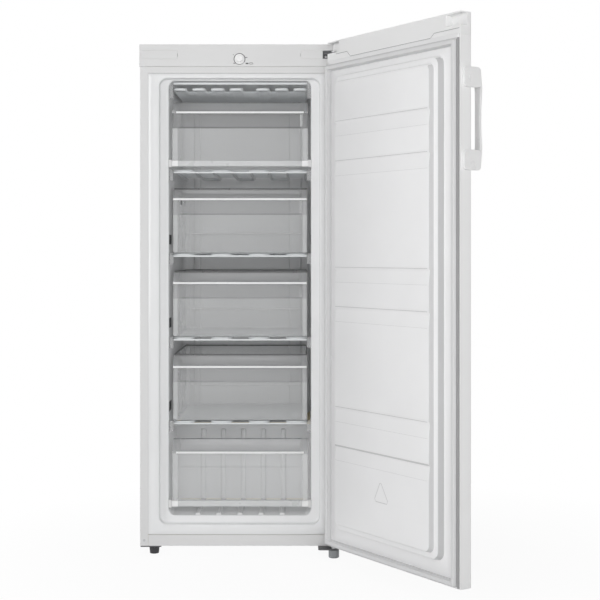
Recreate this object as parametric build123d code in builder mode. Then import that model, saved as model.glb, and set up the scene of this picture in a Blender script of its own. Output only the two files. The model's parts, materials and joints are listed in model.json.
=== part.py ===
from build123d import *
from math import sqrt
import os

# Upright freezer with its door standing open. Millimetres. X runs to the right as seen from the
# front, Y runs into the cabinet and Z is up. The pieces are drawn about the middle of the cabinet's
# footprint on the floor, and saved with the origin on the floor under the door's hinge pins.

# ---- Cabinet -----------------------------------------------------------------------------------
body_width = 550.0
body_depth = 505.0
body_height = 1383.0
foot_height = 25.0  # from the floor to the underside of the cabinet
sheet = 1.0  # painted steel
side_flange = 22.0  # painted flange beside the liner, where the door seal lands
top_flange = 18.0
rail_height = 31.0
rail_depth = 20.0
fascia_height = 58.0
fascia_wall = 3.0
fascia_wrap = 2.0  # thickness of the returns round the sides
fascia_cap = 3.5  # thickness of the return over the top
fascia_return = 25.0
fascia_proud = 1.2
bay_depth = 45.0  # space behind the fascia
joint_line = 0.4  # visible gap between neighbouring panels

# ---- Liner and compartments --------------------------------------------------------------------
liner_wall = 2.0
recess_depth = 20.0
recess_side_margin = 31.0
recess_bottom_margin = 28.0
recess_top_margin = 14.0
recess_corner = 22.0
opening_side_margin = 24.0
opening_bottom_margin = 21.0
opening_top_margin = 3.0
opening_corner = 20.0
upper_reach = 440.0  # front flange to the back wall
lower_reach = 246.0  # front flange to the wall in front of the compressor
hump_height = 230.0
hump_foam = 45.0
rib_width = 15.0
rib_height = 5.0
rib_pitch = 59.0
rib_count = 5
duct_proud = 7.0
ducts = ((-151.5, 21.0), (152.0, 38.0))  # middle and width of the ridges on the back wall

# ---- Evaporator shelves ------------------------------------------------------------------------
bottom_compartment = 263.0
top_compartment = 246.5
drawer_count = 3
tube_diameter = 8.0
wire_diameter = 1.6
wire_pitch = 14.0
run_inset = 14.25  # compartment wall to the outermost run's centre
run_count = 8
bend_share = 0.305  # radii and widths of the bends as shares of the pitch of the runs
top_pair_share = 0.59
top_bend_share = 0.19
top_pairs_left = 4
top_pairs_right = 3
shelf_front = 38.0  # front flange to the tube's front bends
shelf_back_gap = 18.0
front_bar_height = 4.5
front_bar_drop = 1.0  # the tube's centre to the bar's upper edge
front_bar_thickness = 2.0
top_coil_drop = 23.0  # compartment ceiling to the top coil's centre
top_bar_height = 5.8
top_bar_gap = 4.5
clip_width = 11.5
clip_height = 31.0
clip_depth = 24.0
clip_front = 24.0

# ---- Drawers and flaps -------------------------------------------------------------------------
bin_side_gap = 10.5
bin_headroom = 51.5  # drawer's rim to the shelf above it
bin_wall = 2.5
bin_front = 33.0  # front flange to the drawer's front panel
bin_back_gap = 16.0
back_step_height = 58.0
back_step = 4.0
lip_reach = 38.0  # the top rim lies this far behind the front panel
lip_drop = 30.0
ledge_proud = 9.0
ledge_height = 5.5
finger_height = 36.0
finger_depth = 5.0
scoop_depth = 8.0
drawer_grip_margin = 1.5
grip_thickness = 2.5
flap_side_gap = 8.3
flap_grip_margin = 12.0
flap_height = 183.0
flap_wall = 3.0
flap_bar_height = 16.0
flap_bar_depth = 14.0
flap_bar_proud = 1.0
pivot_block = 17.0
pivot_radius = 2.0
pivot_reach = 5.5
holder_depth = 8.0
holder_height = 20.0
top_flap_rise = 7.5  # shelf to the lower edge of the flap above it
bottom_flap_rise = 24.0  # compartment floor to the lower edge of the lower flap

# ---- Door --------------------------------------------------------------------------------------
door_opening_angle = 124.0
door_floor_gap = 6.0  # underside of the cabinet to the door's lower edge
door_rise = 5.0  # top of the cabinet to the door's upper edge
door_thickness = 36.0
door_gap = 17.0  # cabinet flange to the door's inner plane, shut
door_corner = 6.0
door_return = 12.0
top_cap_height = 56.0
bottom_cap_height = 14.0
cap_wall = 3.5
door_liner_wall = 1.5
door_liner_margin = 3.0
outer_step_margin = 58.0  # door edge to the first raised step
outer_step_height = 17.5
recess_clearance = 4.0
inner_step_inset = 21.0
inner_step_height = 14.0
step_corner = 24.0
step_draft = 12.0
band_depth = 3.0
band_slope = 40.0
band_height = 145.0
band_drops = (213.0, 610.0, 993.0)  # top of the cabinet to each band's upper edge
seal_gap = 1.2
seal_base_width = 18.0
seal_base_height = 5.0
seal_bulb_width = 11.0
seal_inset = 3.0
seal_bulb_inset = 5.0
seal_chamfer = 1.0
tongue_inset = 90.0
tongue_drop = 17.0

# ---- Handle ------------------------------------------------------------------------------------
handle_drop = 132.0  # door's upper edge to the handle's upper end
handle_height = 248.0
handle_foot_height = 49.0
handle_foot_depth = 52.0
handle_foot_back = 6.0  # inner plane of the door to the edge of the handle's foot
handle_thickness = 8.0
handle_band_width = 22.0
handle_band_thickness = 5.5
handle_bow = 5.0
handle_waist = 4.5
handle_corner = 10.0
handle_cap_radius = 5.0
handle_cap_proud = 1.5
handle_cap_inset = 19.0

# ---- Hinges, feet and fasteners ----------------------------------------------------------------
hinge_inset = 15.0
hinge_reach = 28.0
pin_radius = 4.0
pin_clearance = 0.06
seat_gap = 0.3
plate_thickness = 3.0
bush_radius = 6.5
pocket_width = 53.0
pocket_depth = 8.5
pocket_floor_drop = 32.0  # top of the door to the pocket's floor
top_bush_height = 16.0
lug_boss = 7.0
lug_width = 20.0
lug_offset = 6.0
lug_neck = 13.5
bracket_length = 80.0
bracket_height = 20.0
window_length = 99.0
window_height = 23.0
window_margin = 5.0
hinge_cover_gap = 40.0
foot_plate_length = 57.0
foot_plate_depth = 60.0
foot_plate_thickness = 3.5
foot_radius = 14.4
foot_taper = 2.0
foot_inset_x = 37.0
foot_inset_y = 25.0
foot_knurl = 24
foot_knurl_depth = 0.7
screw_head_radius = 3.5
screw_head_height = 2.0
flange_screw_height = 0.8  # low enough to pass under the door seal
panel_screw_rows = 6

# ---- Dial --------------------------------------------------------------------------------------
dial_drop = 37.0  # top of the cabinet to the knob's centre
dial_radius = 14.2
dial_gap = 1.4
knob_radius = 9.0
knob_proud = 7.0
shaft_radius = 3.0
rail_gap = 2.2
thermostat_width = 56.0
thermostat_height = 36.0
thermostat_depth = 30.0

# ---- Compressor room and condenser -------------------------------------------------------------
tray_depth = 130.0
tray_setback = 20.0
tray_thickness = 2.0
tray_lift = 14.0
tray_lip = 10.0
grommet_height = 10.0
grommet_radius = 12.0
compressor_x = -40.0
compressor_radius = 62.0
compressor_height = 150.0
compressor_dome = 26.0
seam_proud = 2.0
seam_height = 5.0
foot_bar_length = 190.0
foot_bar_depth = 100.0
relay_width = 45.0
relay_depth = 56.0
relay_height = 72.0
stub_radius = 4.0
stub_height = 12.0
pipe_radius = 3.0
pipe_bend = 12.0
condenser_stand = 20.0
condenser_tube = 5.0
condenser_inset = 70.0
condenser_runs = 16
condenser_rise = 90.0
condenser_top_gap = 101.0
condenser_return_inset = 40.0
condenser_wire_pitch = 30.0
condenser_overhang = 14.0
drier_radius = 9.0
drier_length = 80.0
drier_drop = 20.0
gland_radius = 11.0
gland_length = 9.0
gland_bore = 4.0
rear_foot_radius = 16.0
rear_foot_pad = 12.0
rear_foot_neck = 10.0
rear_foot_inset = 35.0

# ---- Places worked out from the sizes above ----------------------------------------------------
front = -body_depth / 2
back = body_depth / 2
half_width = body_width / 2
body_bottom = foot_height
body_top = body_bottom + body_height
fascia_bottom = body_top - fascia_height
liner_top = fascia_bottom - top_flange
liner_bottom = body_bottom + rail_height
liner_half = half_width - side_flange
recess_half = liner_half - recess_side_margin
recess_bottom = liner_bottom + recess_bottom_margin
recess_top = liner_top - recess_top_margin
opening_half = recess_half - opening_side_margin
opening_bottom = recess_bottom + opening_bottom_margin
opening_top = recess_top - opening_top_margin
opening_front = front + recess_depth
cavity_back = front + upper_reach
hump_front = front + lower_reach
hump_top = opening_bottom + hump_height
room_front = hump_front + liner_wall + hump_foam + sheet
room_top = hump_top - liner_wall - hump_foam - sheet
inside_half = half_width - sheet

tube_radius = tube_diameter / 2
wire_radius = wire_diameter / 2
contact_gap = 0.1
lowest_shelf = opening_bottom + bottom_compartment
shelf_pitch = (opening_top - top_compartment - lowest_shelf) / drawer_count
shelf_planes = [lowest_shelf + level * shelf_pitch for level in range(drawer_count + 1)]
tube_drop = wire_diameter + contact_gap + tube_radius  # shelf surface to the tube's centre
top_coil_z = opening_top - top_coil_drop
tube_heights = [plane_z - tube_drop for plane_z in shelf_planes] + [top_coil_z]
shelf_back = upper_reach - shelf_back_gap
outer_run = opening_half - run_inset
run_pitch = 2 * outer_run / (run_count - 1)
bend_radius = bend_share * run_pitch
top_pair_width = top_pair_share * run_pitch
top_bend_radius = top_bend_share * run_pitch

bin_half_width = opening_half - bin_side_gap
flap_half_width = opening_half - flap_side_gap
bin_height = shelf_pitch - bin_headroom
bin_back = upper_reach - bin_back_gap

hinge_x = half_width - hinge_inset
hinge_y = front - hinge_reach
to_hinge = Location((-hinge_x, -hinge_y, 0))
door_bottom = body_bottom + door_floor_gap
door_top = body_top + door_rise
door_inner = front - door_gap
door_outer = door_inner - door_thickness
door_middle = (door_inner + door_outer) / 2
skin_bottom = door_bottom + bottom_cap_height
skin_top = door_top - top_cap_height
pocket_floor = door_top - pocket_floor_drop
pocket_inner = half_width - pocket_width
liner_face = door_inner + door_liner_wall
outer_step_face = door_inner + outer_step_height + door_liner_wall
inner_step_face = outer_step_face + inner_step_height
outer_step_half = half_width - outer_step_margin
inner_step_half = outer_step_half - inner_step_inset
outer_step_low = recess_bottom + recess_clearance
outer_step_high = recess_top - recess_clearance
band_tops = [body_top - drop for drop in band_drops]
tongue_half_width = half_width - tongue_inset
handle_top = door_top - handle_drop
handle_low = handle_top - handle_height
seal_low = door_bottom + seal_inset
seal_high = fascia_bottom - joint_line
dial_z = body_top - dial_drop
cross_front = front + fascia_wall - fascia_proud + rail_gap
cross_back = cross_front + 2 * sheet
lug_bottom = pocket_floor + seat_gap

hinge_side_window = (half_width - window_margin - window_length, half_width - window_margin)
window_low = lug_bottom - (window_height - plate_thickness) / 2
tray_back = back - tray_setback
tray_front = tray_back - tray_depth
tray_top = body_bottom + tray_lift + tray_thickness
compressor_y = (tray_front + tray_back) / 2
compressor_base = tray_top + grommet_height
compressor_top = compressor_base + compressor_height
condenser_y = back + condenser_stand
condenser_low = room_top + condenser_rise
condenser_high = body_top - condenser_top_gap
condenser_pitch = (condenser_high - condenser_low) / (condenser_runs - 1 / 2)
condenser_half_width = half_width - condenser_inset
condenser_return = half_width - condenser_return_inset

os.makedirs("parts", exist_ok=True)


# ---- Shared helpers ----------------------------------------------------------------------------
def facing(y):
    """Sketch plane at depth y, seen from the front: X to the right, Z up."""
    return Plane.XZ.offset(-y)


def seen_from_side(x):
    """Sketch plane at the given X: Y to the right, Z up."""
    return Plane.YZ.offset(x)


def block(x_span, y_span, z_span, mode=Mode.ADD):
    """A plain block between pairs of coordinates."""
    spans = (x_span, y_span, z_span)
    middle = [(span[0] + span[1]) / 2 for span in spans]
    with Locations(tuple(middle)):
        Box(*[span[1] - span[0] for span in spans], mode=mode)


def across(half, y_span, z_span, mode=Mode.ADD):
    """A block centred on the middle of the cabinet."""
    block((-half, half), y_span, z_span, mode)


def rounded_prism(half, z_span, corner, y_from, depth, mode=Mode.ADD, taper=0.0):
    """A rounded rectangle in the front view, pushed into the cabinet by depth."""
    with BuildSketch(facing(y_from)) as outline:
        with Locations((0, (z_span[0] + z_span[1]) / 2)):
            RectangleRounded(2 * half, z_span[1] - z_span[0], corner)
    extrude(outline.sketch, amount=-depth, taper=taper, mode=mode)


def disc(x, y, z, radius, height, mode=Mode.ADD):
    """An upright cylinder standing on height z."""
    with Locations((x, y, z + height / 2)):
        Cylinder(radius, height, mode=mode)


def stub(x, y, z, radius, length, mode=Mode.ADD):
    """A cylinder along Y, from depth y towards the back."""
    with Locations(Location((x, y + length / 2, z), (90, 0, 0))):
        Cylinder(radius, length, mode=mode)


def pin_across(x_span, y, z, radius, mode=Mode.ADD):
    """A cylinder along X."""
    with Locations(Location(((x_span[0] + x_span[1]) / 2, y, z), (0, 90, 0))):
        Cylinder(radius, abs(x_span[1] - x_span[0]), mode=mode)


def tube(points, radius, bend):
    """A round tube along a path of straight runs with rounded corners."""
    with BuildLine() as route:
        FilletPolyline(*points, radius=bend)
    with BuildSketch(Plane(origin=route.line @ 0, z_dir=route.line % 0)) as section:
        Circle(radius)
    sweep(section.sketch, path=route.line)


def save(piece, label):
    """Write a piece of the cabinet, moved so that the hinge pins stand over the origin."""
    placed = piece.part.moved(to_hinge)
    placed.label = label
    export_step(placed, f"parts/{label}.step")


def save_on_door(piece, label):
    """Write a piece of the door, drawn shut and swung open about the hinge pins."""
    swung = piece.part.moved(to_hinge).rotate(Axis.Z, door_opening_angle)
    swung.label = label
    export_step(swung, f"parts/{label}.step")


# ---- Cabinet shell -----------------------------------------------------------------------------
with BuildPart() as outer_case:
    across(half_width, (front, back), (body_bottom, body_top))
    across(inside_half, (front, back), (body_bottom, body_top - sheet), Mode.SUBTRACT)
    across(half_width, (front, front + sheet), (body_bottom, fascia_bottom))
    across(liner_half, (front, front + sheet), (body_bottom, liner_top), Mode.SUBTRACT)
    fascia_seat = front + fascia_wall - fascia_proud
    across(half_width, (front, fascia_seat), (fascia_bottom, body_top), Mode.SUBTRACT)
save(outer_case, "outer_case")

with BuildPart() as back_panel:
    across(inside_half, (back - sheet, back), (room_top + sheet, body_top - sheet))
save(back_panel, "back_panel")

with BuildPart() as bottom_rail:
    rail_half = liner_half - joint_line
    rail_span = (body_bottom, liner_bottom - joint_line)
    across(rail_half, (front, front + rail_depth), rail_span)
    rail_core = (body_bottom + sheet, liner_bottom - joint_line - sheet)
    across(rail_half, (front + sheet, front + rail_depth), rail_core, Mode.SUBTRACT)
save(bottom_rail, "bottom_rail")

with BuildPart() as base_pan:
    with BuildSketch(seen_from_side(-inside_half)):
        with BuildLine():
            Polyline(
                (front + rail_depth, body_bottom),
                (room_front, body_bottom),
                (room_front, room_top),
                (back, room_top),
                (back, room_top + sheet),
                (room_front - sheet, room_top + sheet),
                (room_front - sheet, body_bottom + sheet),
                (front + rail_depth, body_bottom + sheet),
                close=True,
            )
        make_face()
    extrude(amount=2 * inside_half)
save(base_pan, "base_pan")


# ---- Liner and insulation ----------------------------------------------------------------------
def compartment(grow, mode):
    """The cold space: a deep upper part, and a lower part in front of the compressor."""
    for low, reach in ((opening_bottom, hump_front), (hump_top, cavity_back)):
        z_span = (low - grow, opening_top + grow)
        depth = reach + grow - opening_front
        rounded_prism(opening_half + grow, z_span, opening_corner + grow, opening_front, depth, mode)


def door_recess(grow, mode):
    """The stepped-in rim that the door's raised panel enters."""
    z_span = (recess_bottom - grow, recess_top + grow)
    corner = recess_corner + grow
    rounded_prism(recess_half + grow, z_span, corner, front, recess_depth + grow, mode)


with BuildPart() as inner_liner:
    flange_half = liner_half - joint_line
    flange_span = (liner_bottom + joint_line, liner_top - joint_line)
    across(flange_half, (front, front + liner_wall), flange_span)
    door_recess(liner_wall, Mode.ADD)
    compartment(liner_wall, Mode.ADD)
    door_recess(0, Mode.SUBTRACT)
    compartment(0, Mode.SUBTRACT)
    for step in range(rib_count):
        rib_x = (step - (rib_count - 1) / 2) * rib_pitch
        rib_span = (rib_x - rib_width / 2, rib_x + rib_width / 2)
        floor_span = (opening_front + liner_wall, hump_front)
        block(rib_span, floor_span, (opening_bottom, opening_bottom + rib_height))
        wall_span = (opening_bottom, hump_top - opening_corner)
        block(rib_span, (hump_front - rib_height, hump_front), wall_span)
    for duct_x, duct_width in ducts:
        duct_span = (duct_x - duct_width / 2, duct_x + duct_width / 2)
        duct_reach = (cavity_back - duct_proud, cavity_back)
        block(duct_span, duct_reach, (hump_top, opening_top))
save(inner_liner, "inner_liner")

with BuildPart() as foam_insulation:
    across(inside_half, (front + sheet, back - sheet), (body_bottom + sheet, body_top - sheet))
    bay = (fascia_bottom, body_top - sheet)
    across(inside_half, (front, front + bay_depth), bay, Mode.SUBTRACT)
    across(liner_half, (front, front + liner_wall), (liner_bottom, liner_top), Mode.SUBTRACT)
    across(liner_half, (front, front + rail_depth), (body_bottom, liner_bottom), Mode.SUBTRACT)
    door_recess(liner_wall, Mode.SUBTRACT)
    compartment(liner_wall, Mode.SUBTRACT)
    room_span = (body_bottom, room_top + sheet)
    across(inside_half, (room_front - sheet, back), room_span, Mode.SUBTRACT)
save(foam_insulation, "foam_insulation")

# ---- Fascia, dial and thermostat ---------------------------------------------------------------
with BuildPart() as control_fascia:
    fascia_half = half_width + fascia_wrap
    fascia_face = front - fascia_proud
    fascia_span = (fascia_bottom + joint_line, body_top + fascia_cap)
    across(fascia_half, (fascia_face, front + fascia_return), fascia_span)
    core_span = (fascia_bottom, body_top)
    across(half_width, (fascia_seat, front + fascia_return), core_span, Mode.SUBTRACT)
    window_span = (window_low, window_low + window_height)
    plate_span = (fascia_face, fascia_seat)
    block(hinge_side_window, plate_span, window_span, Mode.SUBTRACT)
    latch_side_window = (-hinge_side_window[1], -hinge_side_window[0])
    block(latch_side_window, plate_span, window_span, Mode.SUBTRACT)
    stub(0, fascia_face, dial_z, dial_radius + dial_gap, fascia_wall, Mode.SUBTRACT)
save(control_fascia, "control_fascia")

with BuildPart() as top_cross_rail:
    across(inside_half, (cross_front, cross_back), (fascia_bottom, body_top - sheet))
    stub(0, cross_front, dial_z, shaft_radius + contact_gap, cross_back - cross_front, Mode.SUBTRACT)
save(top_cross_rail, "top_cross_rail")

with BuildPart() as thermostat_body:
    half = thermostat_width / 2
    box_span = (dial_z - thermostat_height / 2, dial_z + thermostat_height / 2)
    across(half, (cross_back, cross_back + thermostat_depth), box_span)
    bore_length = thermostat_depth / 2
    stub(0, cross_back, dial_z, shaft_radius + pin_clearance, bore_length, Mode.SUBTRACT)
save(thermostat_body, "thermostat_body")

with BuildPart() as thermostat_knob:
    disc_face = fascia_face - contact_gap
    stub(0, disc_face, dial_z, dial_radius, cross_front - rail_gap / 2 - disc_face)
    stub(0, fascia_face - knob_proud, dial_z, knob_radius, knob_proud)
    grip_top = fascia_face - knob_proud
    grip_edges = thermostat_knob.edges().filter_by(GeomType.CIRCLE).group_by(Axis.Y)[0]
    chamfer(grip_edges, length=sheet)
    shaft_reach = thermostat_depth / 2 - seat_gap
    shaft_start = cross_front - rail_gap / 2
    stub(0, shaft_start, dial_z, shaft_radius, cross_back + shaft_reach - shaft_start)
    pointer_half = sheet
    pointer_span = (dial_z + knob_radius / 2, dial_z + knob_radius)
    across(pointer_half, (grip_top, grip_top + sheet / 2), pointer_span, Mode.SUBTRACT)
save(thermostat_knob, "thermostat_knob")

with BuildPart() as hinge_covers:
    cover_span = (window_low + contact_gap, window_low + window_height - contact_gap)
    cover_reach = (fascia_face - seat_gap, front + sheet - seat_gap)
    hinge_cover_end = hinge_side_window[1] - hinge_cover_gap
    block((hinge_side_window[0] + contact_gap, hinge_cover_end), cover_reach, cover_span)
    latch_cover = (latch_side_window[0] + contact_gap, latch_side_window[1] - contact_gap)
    block(latch_cover, cover_reach, cover_span)
save(hinge_covers, "hinge_covers")


# ---- Evaporator shelves ------------------------------------------------------------------------
def serpentine(run_places, height):
    """Points of a tube that runs to and fro in one plane, with both ends at the back wall."""
    front_turn = front + shelf_front
    back_turn = front + shelf_back
    points = [(run_places[0], cavity_back, height)]
    ends = (front_turn, back_turn)
    for index, place in enumerate(run_places):
        turn = ends[index % 2]
        points.append((place, turn, height))
        if index + 1 < len(run_places):
            points.append((run_places[index + 1], turn, height))
    points[-1] = (run_places[-1], cavity_back, height)
    return points


shelf_runs = [index * run_pitch - outer_run for index in range(run_count)]
outer_pair = outer_run - top_pair_width / 2
top_pairs = [-outer_pair + index * run_pitch for index in range(top_pairs_left)]
top_pairs += [outer_pair - index * run_pitch for index in reversed(range(top_pairs_right))]
top_runs = [pair + side * top_pair_width / 2 for pair in top_pairs for side in (-1, 1)]

for level, tube_z in enumerate(tube_heights, start=1):
    with BuildPart() as evaporator_shelf:
        if level == len(tube_heights):
            tube(serpentine(top_runs, tube_z), tube_radius, top_bend_radius)
        else:
            tube(serpentine(shelf_runs, tube_z), tube_radius, bend_radius)
    save(evaporator_shelf, f"evaporator_shelf_{level}")

with BuildPart() as shelf_wires:
    wire_start = front + shelf_front + bend_radius
    wire_count = int((shelf_back - shelf_front - 2 * bend_radius) / wire_pitch) + 1
    wire_offset = tube_radius + contact_gap + wire_radius
    wire_heights = [tube_z + wire_offset for tube_z in tube_heights[:-1]] + [top_coil_z - wire_offset]
    with BuildSketch(seen_from_side(-outer_run)):
        for wire_z in wire_heights:
            with Locations(*[(wire_start + index * wire_pitch, wire_z) for index in range(wire_count)]):
                Circle(wire_radius)
    extrude(amount=2 * outer_run)
save(shelf_wires, "shelf_wires")

bar_back = front + shelf_front - tube_radius - contact_gap
with BuildPart() as shelf_front_bars:
    bar_half = opening_half - clip_width - seat_gap
    bar_y = (bar_back - front_bar_thickness, bar_back)
    for tube_z in tube_heights[:-1]:
        bar_top = tube_z - front_bar_drop
        across(bar_half, bar_y, (bar_top - front_bar_height, bar_top))
    bar_top = opening_top - top_bar_gap
    across(bar_half, bar_y, (bar_top - top_bar_height, bar_top))
    wall_span = (opening_bottom + seat_gap, opening_top - seat_gap)
    inside_wall = opening_half - seat_gap
    corner = opening_corner - seat_gap
    rounded_prism(inside_wall, wall_span, corner, opening_front, upper_reach, Mode.INTERSECT)
save(shelf_front_bars, "shelf_front_bars")

with BuildPart() as shelf_clips:
    clip_y = (front + clip_front, front + clip_front + clip_depth)
    clip_tops = [plane_z - wire_diameter for plane_z in shelf_planes] + [opening_top]
    for tube_z, clip_top in zip(tube_heights, clip_tops):
        clip_z = (tube_z + tube_drop - clip_height, clip_top)
        for side in (-1, 1):
            clip_x = sorted((side * (opening_half - clip_width), side * opening_half))
            block(clip_x, clip_y, clip_z)
            groove_radius = tube_radius + contact_gap
            stub(side * outer_run, clip_y[0], tube_z, groove_radius, clip_depth, Mode.SUBTRACT)
    wall_span = (opening_bottom, opening_top)
    rounded_prism(opening_half, wall_span, opening_corner, opening_front, upper_reach, Mode.INTERSECT)
save(shelf_clips, "shelf_clips")


# ---- Drawers and flaps -------------------------------------------------------------------------
def front_outline(height, panel_foot):
    """The drawers' and flaps' front surface, from its lower edge up to the rim."""
    panel = front + bin_front
    rim = height
    Polyline(
        (panel, panel_foot),
        (panel, rim - lip_drop - ledge_height - finger_height - finger_depth),
        (panel + finger_depth, rim - lip_drop - ledge_height - finger_height),
        (panel + finger_depth, rim - lip_drop - ledge_height),
        (panel - ledge_proud, rim - lip_drop - ledge_height),
        (panel - ledge_proud, rim - lip_drop),
    )
    chord_y = panel + (lip_reach - ledge_proud) / 2
    chord_z = rim - lip_drop / 2
    sag = (chord_y + scoop_depth / 2, chord_z - scoop_depth)
    ThreePointArc((panel - ledge_proud, rim - lip_drop), sag, (panel + lip_reach, rim))


def inner_outline(height, wall, panel_foot):
    """The inside of the same wall, one wall thickness further in, from the rim down."""
    panel = front + bin_front + wall
    rim = height
    under_ledge = (panel + finger_depth, rim - lip_drop - wall / 2)
    chord_y = (panel + finger_depth + panel + lip_reach) / 2
    sag = (chord_y + scoop_depth / 4, rim - lip_drop / 2 - scoop_depth - wall / 2)
    ThreePointArc((panel + lip_reach, rim), sag, under_ledge)
    Polyline(
        under_ledge,
        (panel + finger_depth, rim - lip_drop - ledge_height - finger_height - wall / 2),
        (panel, rim - lip_drop - ledge_height - finger_height - finger_depth - wall / 2),
        (panel, panel_foot),
    )


def drawer_bin(floor):
    """A clear bin whose front carries a scooped lip and a ledge for the grip."""
    rim = floor + bin_height
    rear = front + bin_back
    with BuildPart() as drawer:
        with BuildSketch(seen_from_side(-bin_half_width)) as outside:
            with BuildLine():
                front_outline(rim, floor)
                Polyline(
                    (front + bin_front + lip_reach, rim),
                    (rear, rim),
                    (rear, floor + back_step_height),
                    (rear - back_step, floor + back_step_height - back_step),
                    (rear - back_step, floor),
                    (front + bin_front, floor),
                )
            make_face()
        extrude(outside.sketch, amount=2 * bin_half_width)
        inside_x = bin_half_width - bin_wall
        with BuildSketch(seen_from_side(-inside_x)) as inside:
            with BuildLine():
                rear_wall = rear - bin_wall
                foot = floor + bin_wall
                inner_outline(rim, bin_wall, foot)
                Polyline(
                    (front + bin_front + bin_wall, foot),
                    (rear_wall - back_step, foot),
                    (rear_wall - back_step, floor + back_step_height - back_step + bin_wall),
                    (rear_wall, floor + back_step_height + bin_wall),
                    (rear_wall, rim),
                    (front + bin_front + lip_reach + bin_wall, rim),
                )
            make_face()
        extrude(inside.sketch, amount=2 * inside_x, mode=Mode.SUBTRACT)
    return drawer


def grip_strip(rim, half):
    """The white strip on the ledge's front edge."""
    face = front + bin_front - ledge_proud
    ledge_top = rim - lip_drop
    with BuildPart() as strip:
        strip_span = (ledge_top - ledge_height, ledge_top)
        across(half, (face - grip_thickness, face), strip_span)
        front_edges = strip.faces().sort_by(Axis.Y)[0].edges().filter_by(Axis.X)
        fillet(front_edges, grip_thickness / 2)
    return strip


drawer_floors = [plane_z + seat_gap for plane_z in shelf_planes[:drawer_count]]
for number, floor_z in enumerate(reversed(drawer_floors), start=1):
    save(drawer_bin(floor_z), f"drawer_{number}")
    strip = grip_strip(floor_z + bin_height, bin_half_width - drawer_grip_margin)
    save(strip, f"drawer_{number}_grip")

pivot_y = front + bin_front - ledge_proud - flap_bar_proud + flap_bar_depth / 2
flap_feet = {
    "top_flap": shelf_planes[-1] + top_flap_rise,
    "bottom_flap": opening_bottom + bottom_flap_rise,
}


def flap_panel(foot):
    """A clear front that hangs on a bar along its lower edge."""
    rim = foot + flap_height
    bar_top = foot + flap_bar_height
    panel = front + bin_front
    with BuildPart() as flap:
        with BuildSketch(seen_from_side(-flap_half_width)) as section:
            with BuildLine():
                front_outline(rim, bar_top)
                Line((panel + lip_reach, rim), (panel + lip_reach + flap_wall, rim))
                inner_outline(rim, flap_wall, bar_top)
                Line((panel + flap_wall, bar_top), (panel, bar_top))
            make_face()
        extrude(section.sketch, amount=2 * flap_half_width)
        for side in (-1, 1):
            cheek_x = sorted((side * flap_half_width, side * (flap_half_width - bin_wall)))
            with BuildSketch(seen_from_side(cheek_x[0])) as cheek:
                with BuildLine():
                    front_outline(rim, bar_top)
                    Polyline(
                        (panel + lip_reach, rim),
                        (panel + lip_reach + flap_wall, rim),
                        (panel + flap_wall + finger_depth, bar_top),
                        (panel, bar_top),
                    )
                make_face()
            extrude(cheek.sketch, amount=bin_wall)
        bar_y = (pivot_y - flap_bar_depth / 2, pivot_y + flap_bar_depth / 2)
        across(flap_half_width - pivot_block, bar_y, (foot, bar_top))
    return flap


def flap_pivots(foot):
    """White end blocks under the flap, each with a pivot pin."""
    bar_y = (pivot_y - flap_bar_depth / 2, pivot_y + flap_bar_depth / 2)
    pin_z = foot + flap_bar_height / 2
    with BuildPart() as pivots:
        for side in (-1, 1):
            block_x = sorted((side * (flap_half_width - pivot_block), side * flap_half_width))
            block(block_x, bar_y, (foot, foot + flap_bar_height - seat_gap / 3))
            pin_x = (side * flap_half_width, side * (flap_half_width + pivot_reach))
            pin_across(pin_x, pivot_y, pin_z, pivot_radius)
    return pivots


for name, foot_z in flap_feet.items():
    save(flap_panel(foot_z), name)
    strip = grip_strip(foot_z + flap_height, flap_half_width - flap_grip_margin)
    save(strip, f"{name}_grip")
    save(flap_pivots(foot_z), f"{name}_pivots")

with BuildPart() as flap_pivot_holders:
    for foot_z in flap_feet.values():
        pin_z = foot_z + flap_bar_height / 2
        for side in (-1, 1):
            holder_x = sorted((side * (opening_half - holder_depth), side * opening_half))
            holder_y = (pivot_y - holder_height / 2, pivot_y + holder_height / 2)
            block(holder_x, holder_y, (pin_z - holder_height / 2, pin_z + holder_height / 2))
            bore_end = side * (flap_half_width + pivot_reach + seat_gap)
            bore_x = (side * (opening_half - holder_depth), bore_end)
            pivot_bore = pivot_radius + pin_clearance
            pin_across(bore_x, pivot_y, pin_z, pivot_bore, Mode.SUBTRACT)
save(flap_pivot_holders, "flap_pivot_holders")

# ---- Hinges and feet ---------------------------------------------------------------------------
with BuildPart() as top_hinge_bracket:
    bracket_right = hinge_x - lug_offset
    bracket_low = lug_bottom + plate_thickness / 2 - bracket_height / 2
    bracket_x = (bracket_right - bracket_length, bracket_right)
    block(bracket_x, (front + sheet, cross_front), (bracket_low, bracket_low + bracket_height))
    with BuildSketch(Plane.XY.offset(lug_bottom)):
        with Locations((hinge_x, hinge_y)):
            lug_left = -lug_offset - lug_width
            root = hinge_reach + sheet
            tangent = lug_boss / sqrt(2)
            Polygon(
                (lug_left, root),
                (lug_left, lug_neck),
                (-tangent, -tangent),
                (tangent, tangent),
                (-lug_offset, lug_neck),
                (-lug_offset, root),
                align=None,
            )
            Circle(lug_boss)
    extrude(amount=plate_thickness)
    bore_radius = pin_radius + pin_clearance
    disc(hinge_x, hinge_y, lug_bottom, bore_radius, plate_thickness, Mode.SUBTRACT)
save(top_hinge_bracket, "top_hinge_bracket")

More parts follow.
